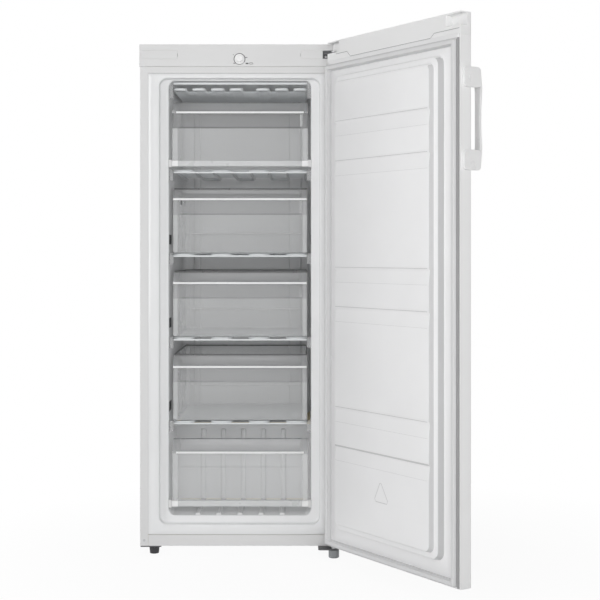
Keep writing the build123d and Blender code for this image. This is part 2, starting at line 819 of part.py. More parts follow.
bracket_plate_low = body_bottom - foot_plate_thickness
collar_height = door_bottom - body_bottom - seat_gap
with BuildPart() as bottom_hinge_bracket:
    plate_x = (half_width - sheet - foot_plate_length, half_width - sheet)
    nose_y = hinge_y - lug_boss - plate_thickness
    block(plate_x, (nose_y, front + foot_plate_depth), (bracket_plate_low, body_bottom))
    nose_corners = bottom_hinge_bracket.edges().filter_by(Axis.Z).group_by(Axis.Y)[0]
    fillet(nose_corners, lug_boss)
    disc(hinge_x, hinge_y, bracket_plate_low, bore_radius, foot_plate_thickness, Mode.SUBTRACT)
save(bottom_hinge_bracket, "bottom_hinge_bracket")

foot_top = bracket_plate_low - seat_gap
pin_foot = foot_top / 2
with BuildPart() as hinge_pins:
    disc(hinge_x, hinge_y, lug_bottom + plate_thickness, lug_boss - sheet, plate_thickness)
    shank_bottom = pocket_floor - top_bush_height + sheet
    disc(hinge_x, hinge_y, shank_bottom, pin_radius, lug_bottom + plate_thickness - shank_bottom)
    disc(hinge_x, hinge_y, body_bottom, lug_boss, collar_height)
    lower_shank = skin_bottom - 2 * sheet - pin_foot
    disc(hinge_x, hinge_y, pin_foot, pin_radius, lower_shank)
save(hinge_pins, "hinge_pins")

with BuildPart() as left_foot_plate:
    left_plate_x = (sheet - half_width, sheet - half_width + foot_plate_length)
    plate_y = (front + liner_wall, front + foot_plate_depth)
    block(left_plate_x, plate_y, (bracket_plate_low, body_bottom))
    left_foot_x = foot_inset_x - half_width
    left_foot_y = front + foot_inset_y
    disc(left_foot_x, left_foot_y, bracket_plate_low, bore_radius, foot_plate_thickness, Mode.SUBTRACT)
save(left_foot_plate, "left_foot_plate")

with BuildPart() as left_foot:
    taper_height = bracket_plate_low - seat_gap
    with Locations((left_foot_x, left_foot_y, taper_height / 2)):
        Cone(foot_radius - foot_taper, foot_radius, taper_height)
    stem_top = body_bottom - seat_gap
    disc(left_foot_x, left_foot_y, taper_height, pin_radius, stem_top - taper_height)
save(left_foot, "left_foot")

with BuildPart() as right_foot:
    disc(hinge_x, hinge_y, 0, foot_radius, foot_top)
    chamfer(right_foot.edges().group_by(Axis.Z)[0], length=foot_taper)
    with Locations((hinge_x, hinge_y, foot_taper + (foot_top - foot_taper) / 2)):
        with PolarLocations(foot_radius + foot_knurl_depth, foot_knurl):
            Cylinder(2 * foot_knurl_depth, foot_top - foot_taper, mode=Mode.SUBTRACT)
    bore_start = pin_foot - seat_gap
    disc(hinge_x, hinge_y, bore_start, bore_radius, foot_top - bore_start, Mode.SUBTRACT)
save(right_foot, "right_foot")


# ---- Door --------------------------------------------------------------------------------------
def door_outline(grow=0.0):
    """The door's outline from above, shut, with its outer corners rounded."""
    with Locations((0, door_middle)):
        Rectangle(body_width + 2 * grow, door_thickness + 2 * grow)
    fillet(vertices().group_by(Axis.Y)[0], door_corner + grow)


with BuildPart() as door_skin:
    with BuildSketch(Plane.XY.offset(skin_bottom)) as skin_section:
        door_outline()
        offset(amount=-sheet, kind=Kind.INTERSECTION, mode=Mode.SUBTRACT)
        with Locations((0, door_inner - sheet / 2)):
            Rectangle(body_width - 2 * door_return, sheet, mode=Mode.SUBTRACT)
    extrude(amount=skin_top - skin_bottom)
save_on_door(door_skin, "door_skin")


def door_panel(shrink, depth_cut, mode):
    """The two raised steps of the door's inner panel, smaller by shrink all round."""
    start = door_inner
    first_depth = outer_step_face - start - depth_cut
    z_span = (outer_step_low + shrink, outer_step_high - shrink)
    corner = step_corner - shrink
    half = outer_step_half - shrink
    rounded_prism(half, z_span, corner, start, first_depth, mode, step_draft)
    inner_half = inner_step_half - shrink
    inner_span = (z_span[0] + inner_step_inset, z_span[1] - inner_step_inset)
    second_start = outer_step_face - depth_cut
    second_depth = inner_step_face - second_start - depth_cut
    rounded_prism(inner_half, inner_span, corner, second_start, second_depth, mode, step_draft)


with BuildPart() as door_liner:
    flange_edge = half_width - door_liner_margin
    tongue_bottom = pocket_floor - door_liner_margin
    flange_top = tongue_bottom - tongue_drop
    flange_low = door_bottom + door_liner_margin
    across(flange_edge, (door_inner, liner_face), (flange_low, flange_top))
    for side in (-1, 1):
        ear = sorted((side * tongue_half_width, side * flange_edge))
        block(ear, (door_inner, liner_face), (flange_top, tongue_bottom))
    door_panel(0, 0, Mode.ADD)
    for band_top in band_tops:
        with BuildSketch(seen_from_side(-half_width)) as band:
            with BuildLine():
                Polyline(
                    (inner_step_face, band_top),
                    (inner_step_face - band_depth, band_top - band_slope),
                    (inner_step_face - band_depth, band_top - band_height + band_slope),
                    (inner_step_face, band_top - band_height),
                    close=True,
                )
            make_face()
        extrude(band.sketch, amount=body_width, mode=Mode.SUBTRACT)
    door_panel(door_liner_wall, door_liner_wall + band_depth, Mode.SUBTRACT)
save_on_door(door_liner, "door_liner")

with BuildPart() as door_foam:
    foam_half = half_width - sheet - door_corner
    foam_span = (door_outer + sheet, door_inner - sheet)
    across(foam_half, foam_span, (skin_bottom, skin_top))
    return_half = half_width - door_return
    across(return_half, (door_inner - sheet, door_inner), (skin_bottom, skin_top))
    door_panel(door_liner_wall, door_liner_wall + band_depth, Mode.ADD)
save_on_door(door_foam, "door_foam")

with BuildPart() as door_gasket:
    base_face = liner_face + seal_base_height
    seal_half = half_width - seal_inset
    seal_top = front - seal_gap
    seal_rings = (
        (liner_face, base_face, 0.0, seal_base_width),
        (base_face, seal_top, seal_bulb_inset, seal_bulb_width),
    )
    for ring_start, ring_end, inset, width in seal_rings:
        with BuildSketch(facing(ring_start)) as ring:
            for edge_inset, ring_mode in ((inset, Mode.ADD), (inset + width, Mode.SUBTRACT)):
                with Locations((0, (seal_low + seal_high) / 2)):
                    ring_height = seal_high - seal_low - 2 * edge_inset
                    Rectangle(2 * (seal_half - edge_inset), ring_height, mode=ring_mode)
        extrude(ring.sketch, amount=ring_start - ring_end)
    bulb_edges = door_gasket.faces().sort_by(Axis.Y)[-1].edges()
    chamfer(bulb_edges, length=seal_chamfer)
save_on_door(door_gasket, "door_gasket")

with BuildPart() as door_top_cap:
    with BuildSketch(Plane.XY.offset(skin_top)):
        door_outline()
    extrude(amount=door_top - skin_top)
    cap_core = (door_outer + cap_wall, door_inner - cap_wall)
    cap_inside = (skin_top, door_top - cap_wall)
    across(pocket_inner - cap_wall, cap_core, cap_inside, Mode.SUBTRACT)
    for side in (-1, 1):
        pocket_x = sorted((side * pocket_inner, side * half_width))
        pocket_y = (hinge_y - pocket_depth, door_inner)
        block(pocket_x, pocket_y, (pocket_floor, door_top - cap_wall), Mode.SUBTRACT)
    cap_bore = bush_radius + contact_gap
    disc(hinge_x, hinge_y, pocket_floor - top_bush_height, cap_bore, top_bush_height, Mode.SUBTRACT)
save_on_door(door_top_cap, "door_top_cap")

with BuildPart() as door_bottom_cap:
    with BuildSketch(Plane.XY.offset(door_bottom)):
        door_outline()
    extrude(amount=bottom_cap_height)
    disc(hinge_x, hinge_y, door_bottom, cap_bore, bottom_cap_height, Mode.SUBTRACT)
save_on_door(door_bottom_cap, "door_bottom_cap")

with BuildPart() as door_hinge_bushes:
    bush_bore = pin_radius + pin_clearance
    for bush_z, bush_height in (
        (pocket_floor - top_bush_height, top_bush_height),
        (door_bottom, bottom_cap_height),
    ):
        disc(hinge_x, hinge_y, bush_z, bush_radius, bush_height)
        disc(hinge_x, hinge_y, bush_z, bush_bore, bush_height, Mode.SUBTRACT)
save_on_door(door_hinge_bushes, "door_hinge_bushes")

with BuildPart() as door_handle:
    handle_x = -half_width - handle_thickness
    foot_edge = door_inner - handle_foot_back
    band_face = foot_edge - handle_foot_depth
    for low in (handle_low, handle_top - handle_foot_height):
        with BuildSketch(seen_from_side(handle_x)) as plate:
            with Locations((foot_edge - handle_foot_depth / 2, low + handle_foot_height / 2)):
                RectangleRounded(handle_foot_depth, handle_foot_height, handle_corner)
        extrude(plate.sketch, amount=handle_thickness)
    grip_low = handle_low + handle_foot_height
    grip_high = handle_top - handle_foot_height
    with BuildSketch(seen_from_side(handle_x)) as band:
        band_low = handle_low + handle_corner
        band_high = handle_top - handle_corner
        band_bow = band_face - handle_bow
        with BuildLine():
            Polyline(
                (band_face, band_low),
                (band_bow, grip_low + handle_corner),
                (band_bow, grip_high - handle_corner),
                (band_face, band_high),
                (band_face + handle_band_thickness, band_high),
                (band_bow + handle_band_thickness, grip_high - handle_corner),
                (band_bow + handle_band_thickness, grip_low + handle_corner),
                (band_face + handle_band_thickness, band_low),
                close=True,
            )
        make_face()
    extrude(band.sketch, amount=handle_band_width)
    with BuildSketch(facing(band_bow)) as waist:
        with BuildLine():
            waist_middle = (handle_x + handle_waist, (grip_low + grip_high) / 2)
            ThreePointArc((handle_x, grip_low), waist_middle, (handle_x, grip_high))
            Line((handle_x, grip_high), (handle_x, grip_low))
        make_face()
    extrude(waist.sketch, amount=-handle_foot_depth, mode=Mode.SUBTRACT)
save_on_door(door_handle, "door_handle")

with BuildPart() as handle_screw_caps:
    cap_y = foot_edge - handle_cap_inset
    cap_drop = handle_foot_height / 2
    for cap_z in (handle_low + cap_drop, handle_top - cap_drop):
        cap_x = (handle_x - handle_cap_proud, handle_x)
        pin_across(cap_x, cap_y, cap_z, handle_cap_radius)
save_on_door(handle_screw_caps, "handle_screw_caps")

# ---- Compressor room ---------------------------------------------------------------------------
with BuildPart() as compressor_tray:
    tray_low = tray_top - tray_thickness - tray_lip
    across(inside_half, (tray_front, tray_back), (tray_low, tray_top))
    tray_core = (tray_front + tray_thickness, tray_back - tray_thickness)
    across(inside_half, tray_core, (tray_low, tray_top - tray_thickness), Mode.SUBTRACT)
save(compressor_tray, "compressor_tray")

with BuildPart() as rear_feet:
    foot_y = (tray_front + tray_back) / 2
    neck_height = tray_top - tray_thickness - rear_foot_pad
    for side in (-1, 1):
        rear_foot_x = side * (half_width - rear_foot_inset)
        disc(rear_foot_x, foot_y, 0, rear_foot_radius, rear_foot_pad)
        disc(rear_foot_x, foot_y, rear_foot_pad, rear_foot_neck, neck_height)
save(rear_feet, "rear_feet")

with BuildPart() as compressor:
    shell_z = compressor_base + plate_thickness
    shell_height = compressor_height - plate_thickness
    disc(compressor_x, compressor_y, shell_z, compressor_radius, shell_height)
    fillet(compressor.edges().filter_by(GeomType.CIRCLE), compressor_dome)
    seam_z = shell_z + shell_height / 2
    disc(compressor_x, compressor_y, seam_z, compressor_radius + seam_proud, seam_height)
    bar_x = (compressor_x - foot_bar_length / 2, compressor_x + foot_bar_length / 2)
    bar_y = (compressor_y - foot_bar_depth / 2, compressor_y + foot_bar_depth / 2)
    block(bar_x, bar_y, (compressor_base, shell_z + sheet))
    stub_spread = compressor_radius / 3
    stub_low = compressor_top - compressor_dome
    for stub_x in (compressor_x - stub_spread, compressor_x + stub_spread):
        disc(stub_x, compressor_y, stub_low, stub_radius, compressor_dome + stub_height)
save(compressor, "compressor")

with BuildPart() as compressor_grommets:
    for side_x in (-1, 1):
        for side_y in (-1, 1):
            grommet_x = compressor_x + side_x * (foot_bar_length / 2 - grommet_radius)
            grommet_y = compressor_y + side_y * (foot_bar_depth / 2 - grommet_radius)
            disc(grommet_x, grommet_y, tray_top, grommet_radius, grommet_height)
save(compressor_grommets, "compressor_grommets")

with BuildPart() as relay_cover:
    relay_start = compressor_x + compressor_radius / 2
    relay_end = compressor_x + compressor_radius + relay_width
    relay_y = (compressor_y - relay_depth / 2, compressor_y + relay_depth / 2)
    relay_low = shell_z + compressor_dome
    relay_high = min(relay_low + relay_height, seam_z - seat_gap)
    block((relay_start, relay_end), relay_y, (relay_low, relay_high))
    clear_radius = compressor_radius + seat_gap
    disc(compressor_x, compressor_y, shell_z, clear_radius, shell_height, Mode.SUBTRACT)
save(relay_cover, "relay_cover")

stub_top = compressor_top + stub_height
turn_height = stub_top + 2 * pipe_bend
with BuildPart() as suction_pipe:
    suction_x = compressor_x - stub_spread
    suction_end = room_front + 2 * pipe_bend + pipe_radius
    tube(
        (
            (suction_x, compressor_y, stub_top),
            (suction_x, compressor_y, turn_height),
            (suction_x, suction_end, turn_height),
            (suction_x, suction_end, room_top),
        ),
        pipe_radius,
        pipe_bend,
    )
save(suction_pipe, "suction_pipe")

drier_top = room_top + condenser_rise / 2
with BuildPart() as condenser:
    discharge_x = compressor_x + stub_spread
    condenser_points = [
        (discharge_x, compressor_y, stub_top),
        (discharge_x, compressor_y, turn_height),
        (condenser_half_width, compressor_y, turn_height),
        (condenser_half_width, condenser_y, turn_height),
    ]
    for run in range(condenser_runs):
        run_z = condenser_low + run * condenser_pitch
        start_side = 1 if run % 2 == 0 else -1
        for side in (start_side, -start_side):
            condenser_points.append((side * condenser_half_width, condenser_y, run_z))
    last_side = condenser_points[-1][0]
    condenser_points.append((last_side, condenser_y, condenser_high))
    condenser_points.append((-condenser_return, condenser_y, condenser_high))
    condenser_points.append((-condenser_return, condenser_y, drier_top))
    tube(condenser_points, condenser_tube / 2, pipe_bend)
save(condenser, "condenser")

with BuildPart() as condenser_wires:
    wire_low = condenser_low - condenser_overhang
    wire_high = condenser_low + (condenser_runs - 1) * condenser_pitch + condenser_overhang
    wire_reach = condenser_half_width - 2 * pipe_bend
    grid_count = 2 * int(wire_reach / condenser_wire_pitch) + 1
    stand_off = condenser_tube / 2 + wire_radius + contact_gap
    for index in range(grid_count):
        wire_x = (index - (grid_count - 1) / 2) * condenser_wire_pitch
        for side in (-1, 1):
            wire_y = condenser_y + side * stand_off
            disc(wire_x, wire_y, wire_low, wire_radius, wire_high - wire_low)
save(condenser_wires, "condenser_wires")

with BuildPart() as condenser_brackets:
    bracket_reach = condenser_stand + condenser_tube
    bracket_half = condenser_tube
    bracket_runs = (1, condenser_runs - 2)
    for run in bracket_runs:
        hook_z = condenser_low + run * condenser_pitch
        for side in (-1, 1):
            hook_x = side * (wire_reach + pipe_bend / 2)
            hook_span = (hook_x - bracket_half, hook_x + bracket_half)
            hook_height = (hook_z - 2 * bracket_half, hook_z + 2 * bracket_half)
            block(hook_span, (back, back + bracket_reach), hook_height)
            hook_bore = condenser_tube / 2 + contact_gap
            pin_across(hook_span, condenser_y, hook_z, hook_bore, Mode.SUBTRACT)
save(condenser_brackets, "condenser_brackets")

drier_low = drier_top - drier_length
with BuildPart() as filter_drier:
    disc(-condenser_return, condenser_y, drier_low, drier_radius, drier_length)
    fillet(filter_drier.edges().filter_by(GeomType.CIRCLE), drier_radius - condenser_tube / 2 - sheet)
save(filter_drier, "filter_drier")

with BuildPart() as capillary_tube:
    capillary_y = compressor_y
    capillary_low = drier_low - 2 * pipe_bend
    tube(
        (
            (-condenser_return, condenser_y, drier_low),
            (-condenser_return, condenser_y, capillary_low),
            (-condenser_return, capillary_y, capillary_low),
            (-condenser_return, capillary_y, room_top),
        ),
        wire_radius,
        pipe_bend,
    )
save(capillary_tube, "capillary_tube")

with BuildPart() as cord_gland:
    gland_x = half_width - rear_foot_inset - gland_radius
    gland_z = room_top + 2 * gland_radius
    stub(gland_x, back, gland_z, gland_radius, gland_length)
    stub(gland_x, back, gland_z, gland_bore, gland_length, Mode.SUBTRACT)
save(cord_gland, "cord_gland")

# ---- Screws ------------------------------------------------------------------------------------
with BuildPart() as case_screws:
    flange_screw_x = half_width - side_flange / 2
    flange_screw_z = body_bottom + rail_height / 2
    for side in (-1, 1):
        head_y = front - flange_screw_height
        stub(side * flange_screw_x, head_y, flange_screw_z, screw_head_radius, flange_screw_height)
    panel_low = room_top + sheet + 2 * screw_head_radius
    panel_high = body_top - sheet - 2 * screw_head_radius
    panel_step = (panel_high - panel_low) / (panel_screw_rows - 1)
    panel_screw_x = inside_half - 2 * screw_head_radius
    for row in range(panel_screw_rows):
        for side in (-1, 1):
            panel_z = panel_low + row * panel_step
            stub(side * panel_screw_x, back, panel_z, screw_head_radius, screw_head_height)
    lug_middle = bracket_right - lug_width / 2
    for screw_x in (lug_middle - lug_width / 4, lug_middle + lug_width / 4):
        screw_z = (bracket_low + lug_bottom) / 2
        head_y = front + sheet - screw_head_height
        stub(screw_x, head_y, screw_z, screw_head_radius, screw_head_height)
    plate_middle = half_width - foot_plate_length / 2
    for screw_y in (front + foot_plate_depth / 3, front + foot_plate_depth * 2 / 3):
        head_z = bracket_plate_low - screw_head_height
        disc(plate_middle, screw_y, head_z, screw_head_radius, screw_head_height)
save(case_screws, "case_screws")
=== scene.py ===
import json
from math import cos, pi, radians, sin

import bmesh
import bpy
from mathutils import Matrix, Vector

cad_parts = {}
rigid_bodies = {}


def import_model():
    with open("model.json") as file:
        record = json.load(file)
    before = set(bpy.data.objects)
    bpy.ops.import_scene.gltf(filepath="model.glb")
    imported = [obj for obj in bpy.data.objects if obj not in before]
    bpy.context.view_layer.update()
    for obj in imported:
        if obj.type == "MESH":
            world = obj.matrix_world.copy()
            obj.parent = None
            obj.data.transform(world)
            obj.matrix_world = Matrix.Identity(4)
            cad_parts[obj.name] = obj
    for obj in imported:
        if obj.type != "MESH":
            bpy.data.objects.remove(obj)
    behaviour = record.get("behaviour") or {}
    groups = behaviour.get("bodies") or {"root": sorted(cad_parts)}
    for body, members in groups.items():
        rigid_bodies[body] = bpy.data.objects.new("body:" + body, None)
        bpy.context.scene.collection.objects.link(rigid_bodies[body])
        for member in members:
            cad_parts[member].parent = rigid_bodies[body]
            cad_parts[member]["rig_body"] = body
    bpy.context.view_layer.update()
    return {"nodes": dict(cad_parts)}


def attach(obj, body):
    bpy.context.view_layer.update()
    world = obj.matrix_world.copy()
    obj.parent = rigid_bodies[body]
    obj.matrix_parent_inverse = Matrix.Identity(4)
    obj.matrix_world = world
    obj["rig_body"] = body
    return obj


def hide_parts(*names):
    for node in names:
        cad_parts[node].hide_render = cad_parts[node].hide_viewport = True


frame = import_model()
nodes = frame["nodes"]
scene = bpy.context.scene

# Measures in metres. Pieces are drawn about the middle of the cabinet's footprint, as in the CAD,
# and moved so that the hinge pins stand over the origin.
FRONT = -0.2525  # plane of the cabinet's front flange
DOOR_IN = FRONT - 0.017  # the shut door's inner plane
DOOR_ANGLE = 124  # degrees open, as stored
TO_HINGE = Matrix.Translation((-0.26, 0.028 - FRONT, 0.0))
SWING = Matrix.Rotation(radians(DOOR_ANGLE), 4, "Z") @ TO_HINGE
FLANGE_HALF = 0.2526  # the liner's flange round the opening
FLANGE_LOW = 0.0564
FLANGE_HIGH = 1.3316
LOWEST_SHELF = 0.368
SHELF_PITCH = 0.2335
SHELVES = [LOWEST_SHELF + SHELF_PITCH * level for level in range(4)]
PANEL = FRONT + 0.033  # front of the drawers and flaps
BIN_HALF = 0.1875
BIN_REAR = FRONT + 0.424
BIN_HEIGHT = 0.182
FLAP_HALF = 0.1897
FLAP_HEIGHT = 0.183
POST = 0.0135  # width of the solid ends of a clear front
POST_FADE = 0.001
LIP_DROP = 0.030  # rim of a clear front down to its ledge
LEDGE_HEIGHT = 0.0055
LEDGE_PROUD = 0.009
RECESS_FOOT = 0.0765  # rim down to where the finger recess starts


# ---- Materials ---------------------------------------------------------------------------------
NOISE_LOW, NOISE_HIGH = 0.3, 0.7  # most of a noise's values lie between these


class Shader:
    """A node material with a Principled surface and short calls for adding to it."""

    def __init__(self, name, color, rough, **inputs):
        self.mat = bpy.data.materials.new(name)
        self.mat.use_nodes = True
        self.tree = self.mat.node_tree
        self.bsdf = self.tree.nodes["Principled BSDF"]
        self.bsdf.inputs["Base Color"].default_value = (*color, 1)
        self.bsdf.inputs["Roughness"].default_value = rough
        for key, value in inputs.items():
            self.bsdf.inputs[key.replace("_", " ")].default_value = value
        self.coords = self.add("ShaderNodeTexCoord").outputs["Object"]
        self.normal = None

    def add(self, kind, **settings):
        node = self.tree.nodes.new(kind)
        for key, value in settings.items():
            setattr(node, key, value)
        return node

    def link(self, source, target):
        self.tree.links.new(source, target)

    def noise(self, scale, detail):
        tex = self.add("ShaderNodeTexNoise")
        tex.inputs["Scale"].default_value = scale
        tex.inputs["Detail"].default_value = detail
        self.link(self.coords, tex.inputs["Vector"])
        return tex.outputs["Fac"]

    def spread(self, fac, low, high):
        """Maps the middle of a noise to low..high."""
        return self.between(fac, NOISE_LOW, NOISE_HIGH, low, high)

    def between(self, value, start, end, low, high):
        """Maps start..end to low..high, and holds the ends."""
        node = self.add("ShaderNodeMapRange")
        ends = {"From Min": start, "From Max": end, "To Min": low, "To Max": high}
        for key, number in ends.items():
            node.inputs[key].default_value = number
        self.link(value, node.inputs["Value"])
        return node.outputs["Result"]

    def maths(self, operation, first, second=0.0):
        """A Math node; first and second are floats or sockets."""
        node = self.add("ShaderNodeMath", operation=operation)
        for socket, value in zip(node.inputs, (first, second)):
            if isinstance(value, float):
                socket.default_value = value
            else:
                self.link(value, socket)
        return node.outputs[0]

    def tint(self, fac, dark, light):
        """Base colour from dark to light over the middle of a noise."""
        ramp = self.add("ShaderNodeValToRGB")
        stops = ((NOISE_LOW, dark), (NOISE_HIGH, light))
        for element, (position, color) in zip(ramp.color_ramp.elements, stops):
            element.position = position
            element.color = (*color, 1)
        self.link(fac, ramp.inputs["Fac"])
        self.link(ramp.outputs["Color"], self.bsdf.inputs["Base Color"])

    def rough(self, fac, low, high):
        self.link(self.spread(fac, low, high), self.bsdf.inputs["Roughness"])

    def bump(self, fac, depth):
        """Depth in metres; later bumps ride on the earlier ones."""
        node = self.add("ShaderNodeBump")
        node.inputs["Strength"].default_value = 1.0
        node.inputs["Distance"].default_value = depth
        self.link(fac, node.inputs["Height"])
        if self.normal:
            self.link(self.normal, node.inputs["Normal"])
        self.normal = node.outputs["Normal"]
        self.link(self.normal, self.bsdf.inputs["Normal"])


def shade(color, factor):
    return tuple(min(1.0, c * factor) for c in color)


def painted(name, color, rough=0.32, peel=0.00004):
    """Sprayed enamel, with a fine orange peel."""
    s = Shader(name, color, rough, Coat_Weight=0.25, Coat_Roughness=0.12)
    s.tint(s.noise(3.0, 3.0), shade(color, 0.985), shade(color, 1.012))
    s.rough(s.noise(14.0, 4.0), rough - 0.04, rough + 0.05)
    s.bump(s.noise(620.0, 1.0), peel)
    return s.mat


def moulded(name, color, rough=0.4, wave=0.00025, grain=0.00003):
    """Moulded plastic or rubber, slightly uneven, with a fine grain."""
    s = Shader(name, color, rough)
    s.tint(s.noise(5.0, 3.0), shade(color, 0.98), shade(color, 1.012))
    s.rough(s.noise(22.0, 4.0), rough - 0.05, rough + 0.05)
    s.bump(s.noise(9.0, 1.0), wave)
    s.bump(s.noise(1400.0, 1.0), grain)
    return s.mat


def clear(name, color, face, edge, rough=0.14, post=0.0):
    """Thin clear plastic. face and edge are how much of it shows square on and at a glance, and
    post is what the solid ends of a drawer's or flap's front add to that."""
    s = Shader(name, color, rough, IOR=1.7, Specular_IOR_Level=0.8)
    s.tint(s.noise(7.0, 3.0), shade(color, 0.97), shade(color, 1.02))
    s.rough(s.noise(30.0, 3.0), rough - 0.04, rough + 0.04)
    s.bump(s.noise(11.0, 1.0), 0.0004)
    glance = s.add("ShaderNodeLayerWeight")
    glance.inputs["Blend"].default_value = 0.3
    density = s.between(glance.outputs["Facing"], 0.0, 1.0, face, edge)
    if post:
        axes = s.add("ShaderNodeSeparateXYZ")
        s.link(s.coords, axes.inputs[0])
        across = s.maths("SUBTRACT", axes.outputs["X"], TO_HINGE.translation.x)
        outward = s.maths("ABSOLUTE", across)
        inner = BIN_HALF - POST
        density = s.maths("ADD", density, s.between(outward, inner, inner + POST_FADE, 0.0, post))
    s.link(density, s.bsdf.inputs["Alpha"])
    return s.mat


def metal(name, color, rough, metallic=1.0):
    s = Shader(name, color, rough, Metallic=metallic)
    s.tint(s.noise(60.0, 4.0), shade(color, 0.86), shade(color, 1.08))
    s.rough(s.noise(240.0, 3.0), rough - 0.08, rough + 0.1)
    s.bump(s.noise(500.0, 2.0), 0.00003)
    return s.mat


def galvanised(name):
    """Zinc-coated sheet with its crystals."""
    s = Shader(name, (0.6, 0.61, 0.62), 0.42, Metallic=0.9)
    cells = s.add("ShaderNodeTexVoronoi")
    cells.inputs["Scale"].default_value = 95.0
    s.link(s.coords, cells.inputs["Vector"])
    grey = s.add("ShaderNodeRGBToBW")
    s.link(cells.outputs["Color"], grey.inputs["Color"])
    s.tint(grey.outputs["Val"], (0.5, 0.51, 0.52), (0.68, 0.69, 0.7))
    s.rough(grey.outputs["Val"], 0.34, 0.52)
    s.bump(s.noise(300.0, 2.0), 0.00003)
    return s.mat


def foam_skin(name):
    s = Shader(name, (0.86, 0.76, 0.52), 0.85)
    s.tint(s.noise(40.0, 5.0), (0.78, 0.66, 0.42), (0.9, 0.82, 0.6))
    s.bump(s.noise(90.0, 6.0), 0.001)
    return s.mat


M = {
    "case": painted("case_paint", (0.69, 0.69, 0.69)),
    "door": painted("door_paint", (0.88, 0.88, 0.88)),
    "liner": moulded("liner_plastic", (0.80, 0.805, 0.81), 0.17, 0.0001, 0.000008),
    "door_liner": moulded("door_liner_plastic", (0.90, 0.90, 0.905), 0.36),
    "trim": moulded("trim_plastic", (0.71, 0.71, 0.71), 0.36),
    "bright": moulded("bright_plastic", (0.86, 0.86, 0.86), 0.3),
    "clear": clear("clear_plastic", (0.84, 0.85, 0.855), 0.29, 0.5, post=0.2),
    "clear_lip": clear("clear_lip", (0.6, 0.605, 0.61), 0.42, 0.7),
    "clear_edge": clear("clear_edge", (0.06, 0.06, 0.062), 0.9, 0.97, 0.3),
    # The finger recesses' clear plastic in darker greys: painted shade under the grips, darkest on the
    # top flap.
    "top_recess_shade": clear("top_recess_shade", (0.24, 0.243, 0.246), 0.58, 0.8),
    "recess": clear("recess", (0.48, 0.485, 0.49), 0.38, 0.7, post=0.28),
    "frosted_clip": clear("frosted_clip", (0.62, 0.625, 0.63), 0.3, 0.8, 0.2),
    "bulb": moulded("seal_bulb", (0.74, 0.74, 0.745), 0.55, 0.0001, 0.00004),
    "line": moulded("moulded_line", (0.42, 0.42, 0.425), 0.5),
    "frosted": clear("frosted_bar", (0.72, 0.73, 0.735), 0.7, 0.9, 0.3),
    "seal": moulded("seal_rubber", (0.66, 0.66, 0.665), 0.6, 0.0001, 0.00004),
    "seal_shade": moulded("seal_shade", (0.34, 0.34, 0.345), 0.6, 0.0001, 0.00004),
    "tube": painted("evaporator_paint", (0.68, 0.70, 0.71), 0.38, 0.00006),
    "wire": painted("wire_paint", (0.66, 0.68, 0.69), 0.38, 0.00004),
    "zinc": galvanised("galvanised_sheet"),
    "black": painted("black_enamel", (0.018, 0.018, 0.02), 0.35, 0.00005),
    "copper": metal("copper", (0.72, 0.39, 0.26), 0.3),
    "steel": metal("zinc_plated_steel", (0.55, 0.55, 0.56), 0.34),
    "dark_steel": metal("dark_steel", (0.12, 0.12, 0.125), 0.42, 0.8),
    "dark": moulded("dark_plastic", (0.03, 0.03, 0.033), 0.5),
    "grey": moulded("grey_plastic", (0.27, 0.28, 0.29), 0.48),
    "rubber": moulded("black_rubber", (0.02, 0.02, 0.021), 0.75, 0.0001, 0.00006),
    "foam": foam_skin("foam"),
    "cap": moulded("door_cap", (0.87, 0.87, 0.87), 0.5, 0.00004),
    # A darker grey for the door liner's step walls: painted shade.
    "door_step_shade": moulded("door_step_shade", (0.62, 0.62, 0.625), 0.45),
    # A pale grey for joints and the moulded mark, and for painted shade along the door panel's creases.
    "pale_line_and_crease_shade": moulded("pale_line_and_crease_shade", (0.66, 0.66, 0.665), 0.5),
    "mark": moulded("grey_mark", (0.09, 0.09, 0.093), 0.5),
}


# ---- Geometry helpers --------------------------------------------------------------------------
def smooth(obj, angle=32):
    """Smooth shading that keeps edges sharper than angle, in degrees."""
    obj.data.shade_smooth()
    bm = bmesh.new()
    bm.from_mesh(obj.data)
    for edge in bm.edges:
        sharp = len(edge.link_faces) != 2 or edge.calc_face_angle(0) > radians(angle)
        edge.smooth = not sharp
    bm.to_mesh(obj.data)
    bm.free()


def add_piece(name, mesh, mat, body, replaces=(), place=TO_HINGE):
    """Puts a mesh in the scene as a piece of the object. place moves it from where it was drawn."""
    obj = bpy.data.objects.new(name, mesh)
    scene.collection.objects.link(obj)
    mesh.transform(place)
    mesh.materials.clear()
    mesh.materials.append(mat)
    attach(obj, body)
    if replaces:
        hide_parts(*replaces)
    return obj


def finished(bm, name):
    """Turns a bmesh into a mesh."""
    mesh = bpy.data.meshes.new(name)
    bm.to_mesh(mesh)
    bm.free()
    return mesh


def weld(bm, distance):
    """Joins points that lie together, and turns every face outward."""
    bmesh.ops.remove_doubles(bm, verts=bm.verts, dist=distance)
    bmesh.ops.recalc_face_normals(bm, faces=bm.faces)


def clean_copy(node):
    """The node's mesh with its flat areas merged back into single faces."""
    mesh = nodes[node].data.copy()
    bm = bmesh.new()
    bm.from_mesh(mesh)
    bmesh.ops.remove_doubles(bm, verts=bm.verts, dist=0.00001)
    bmesh.ops.dissolve_limit(
        bm, angle_limit=radians(1.0), verts=bm.verts, edges=bm.edges, delimit={"NORMAL"}
    )
    bm.to_mesh(mesh)
    bm.free()
    return mesh


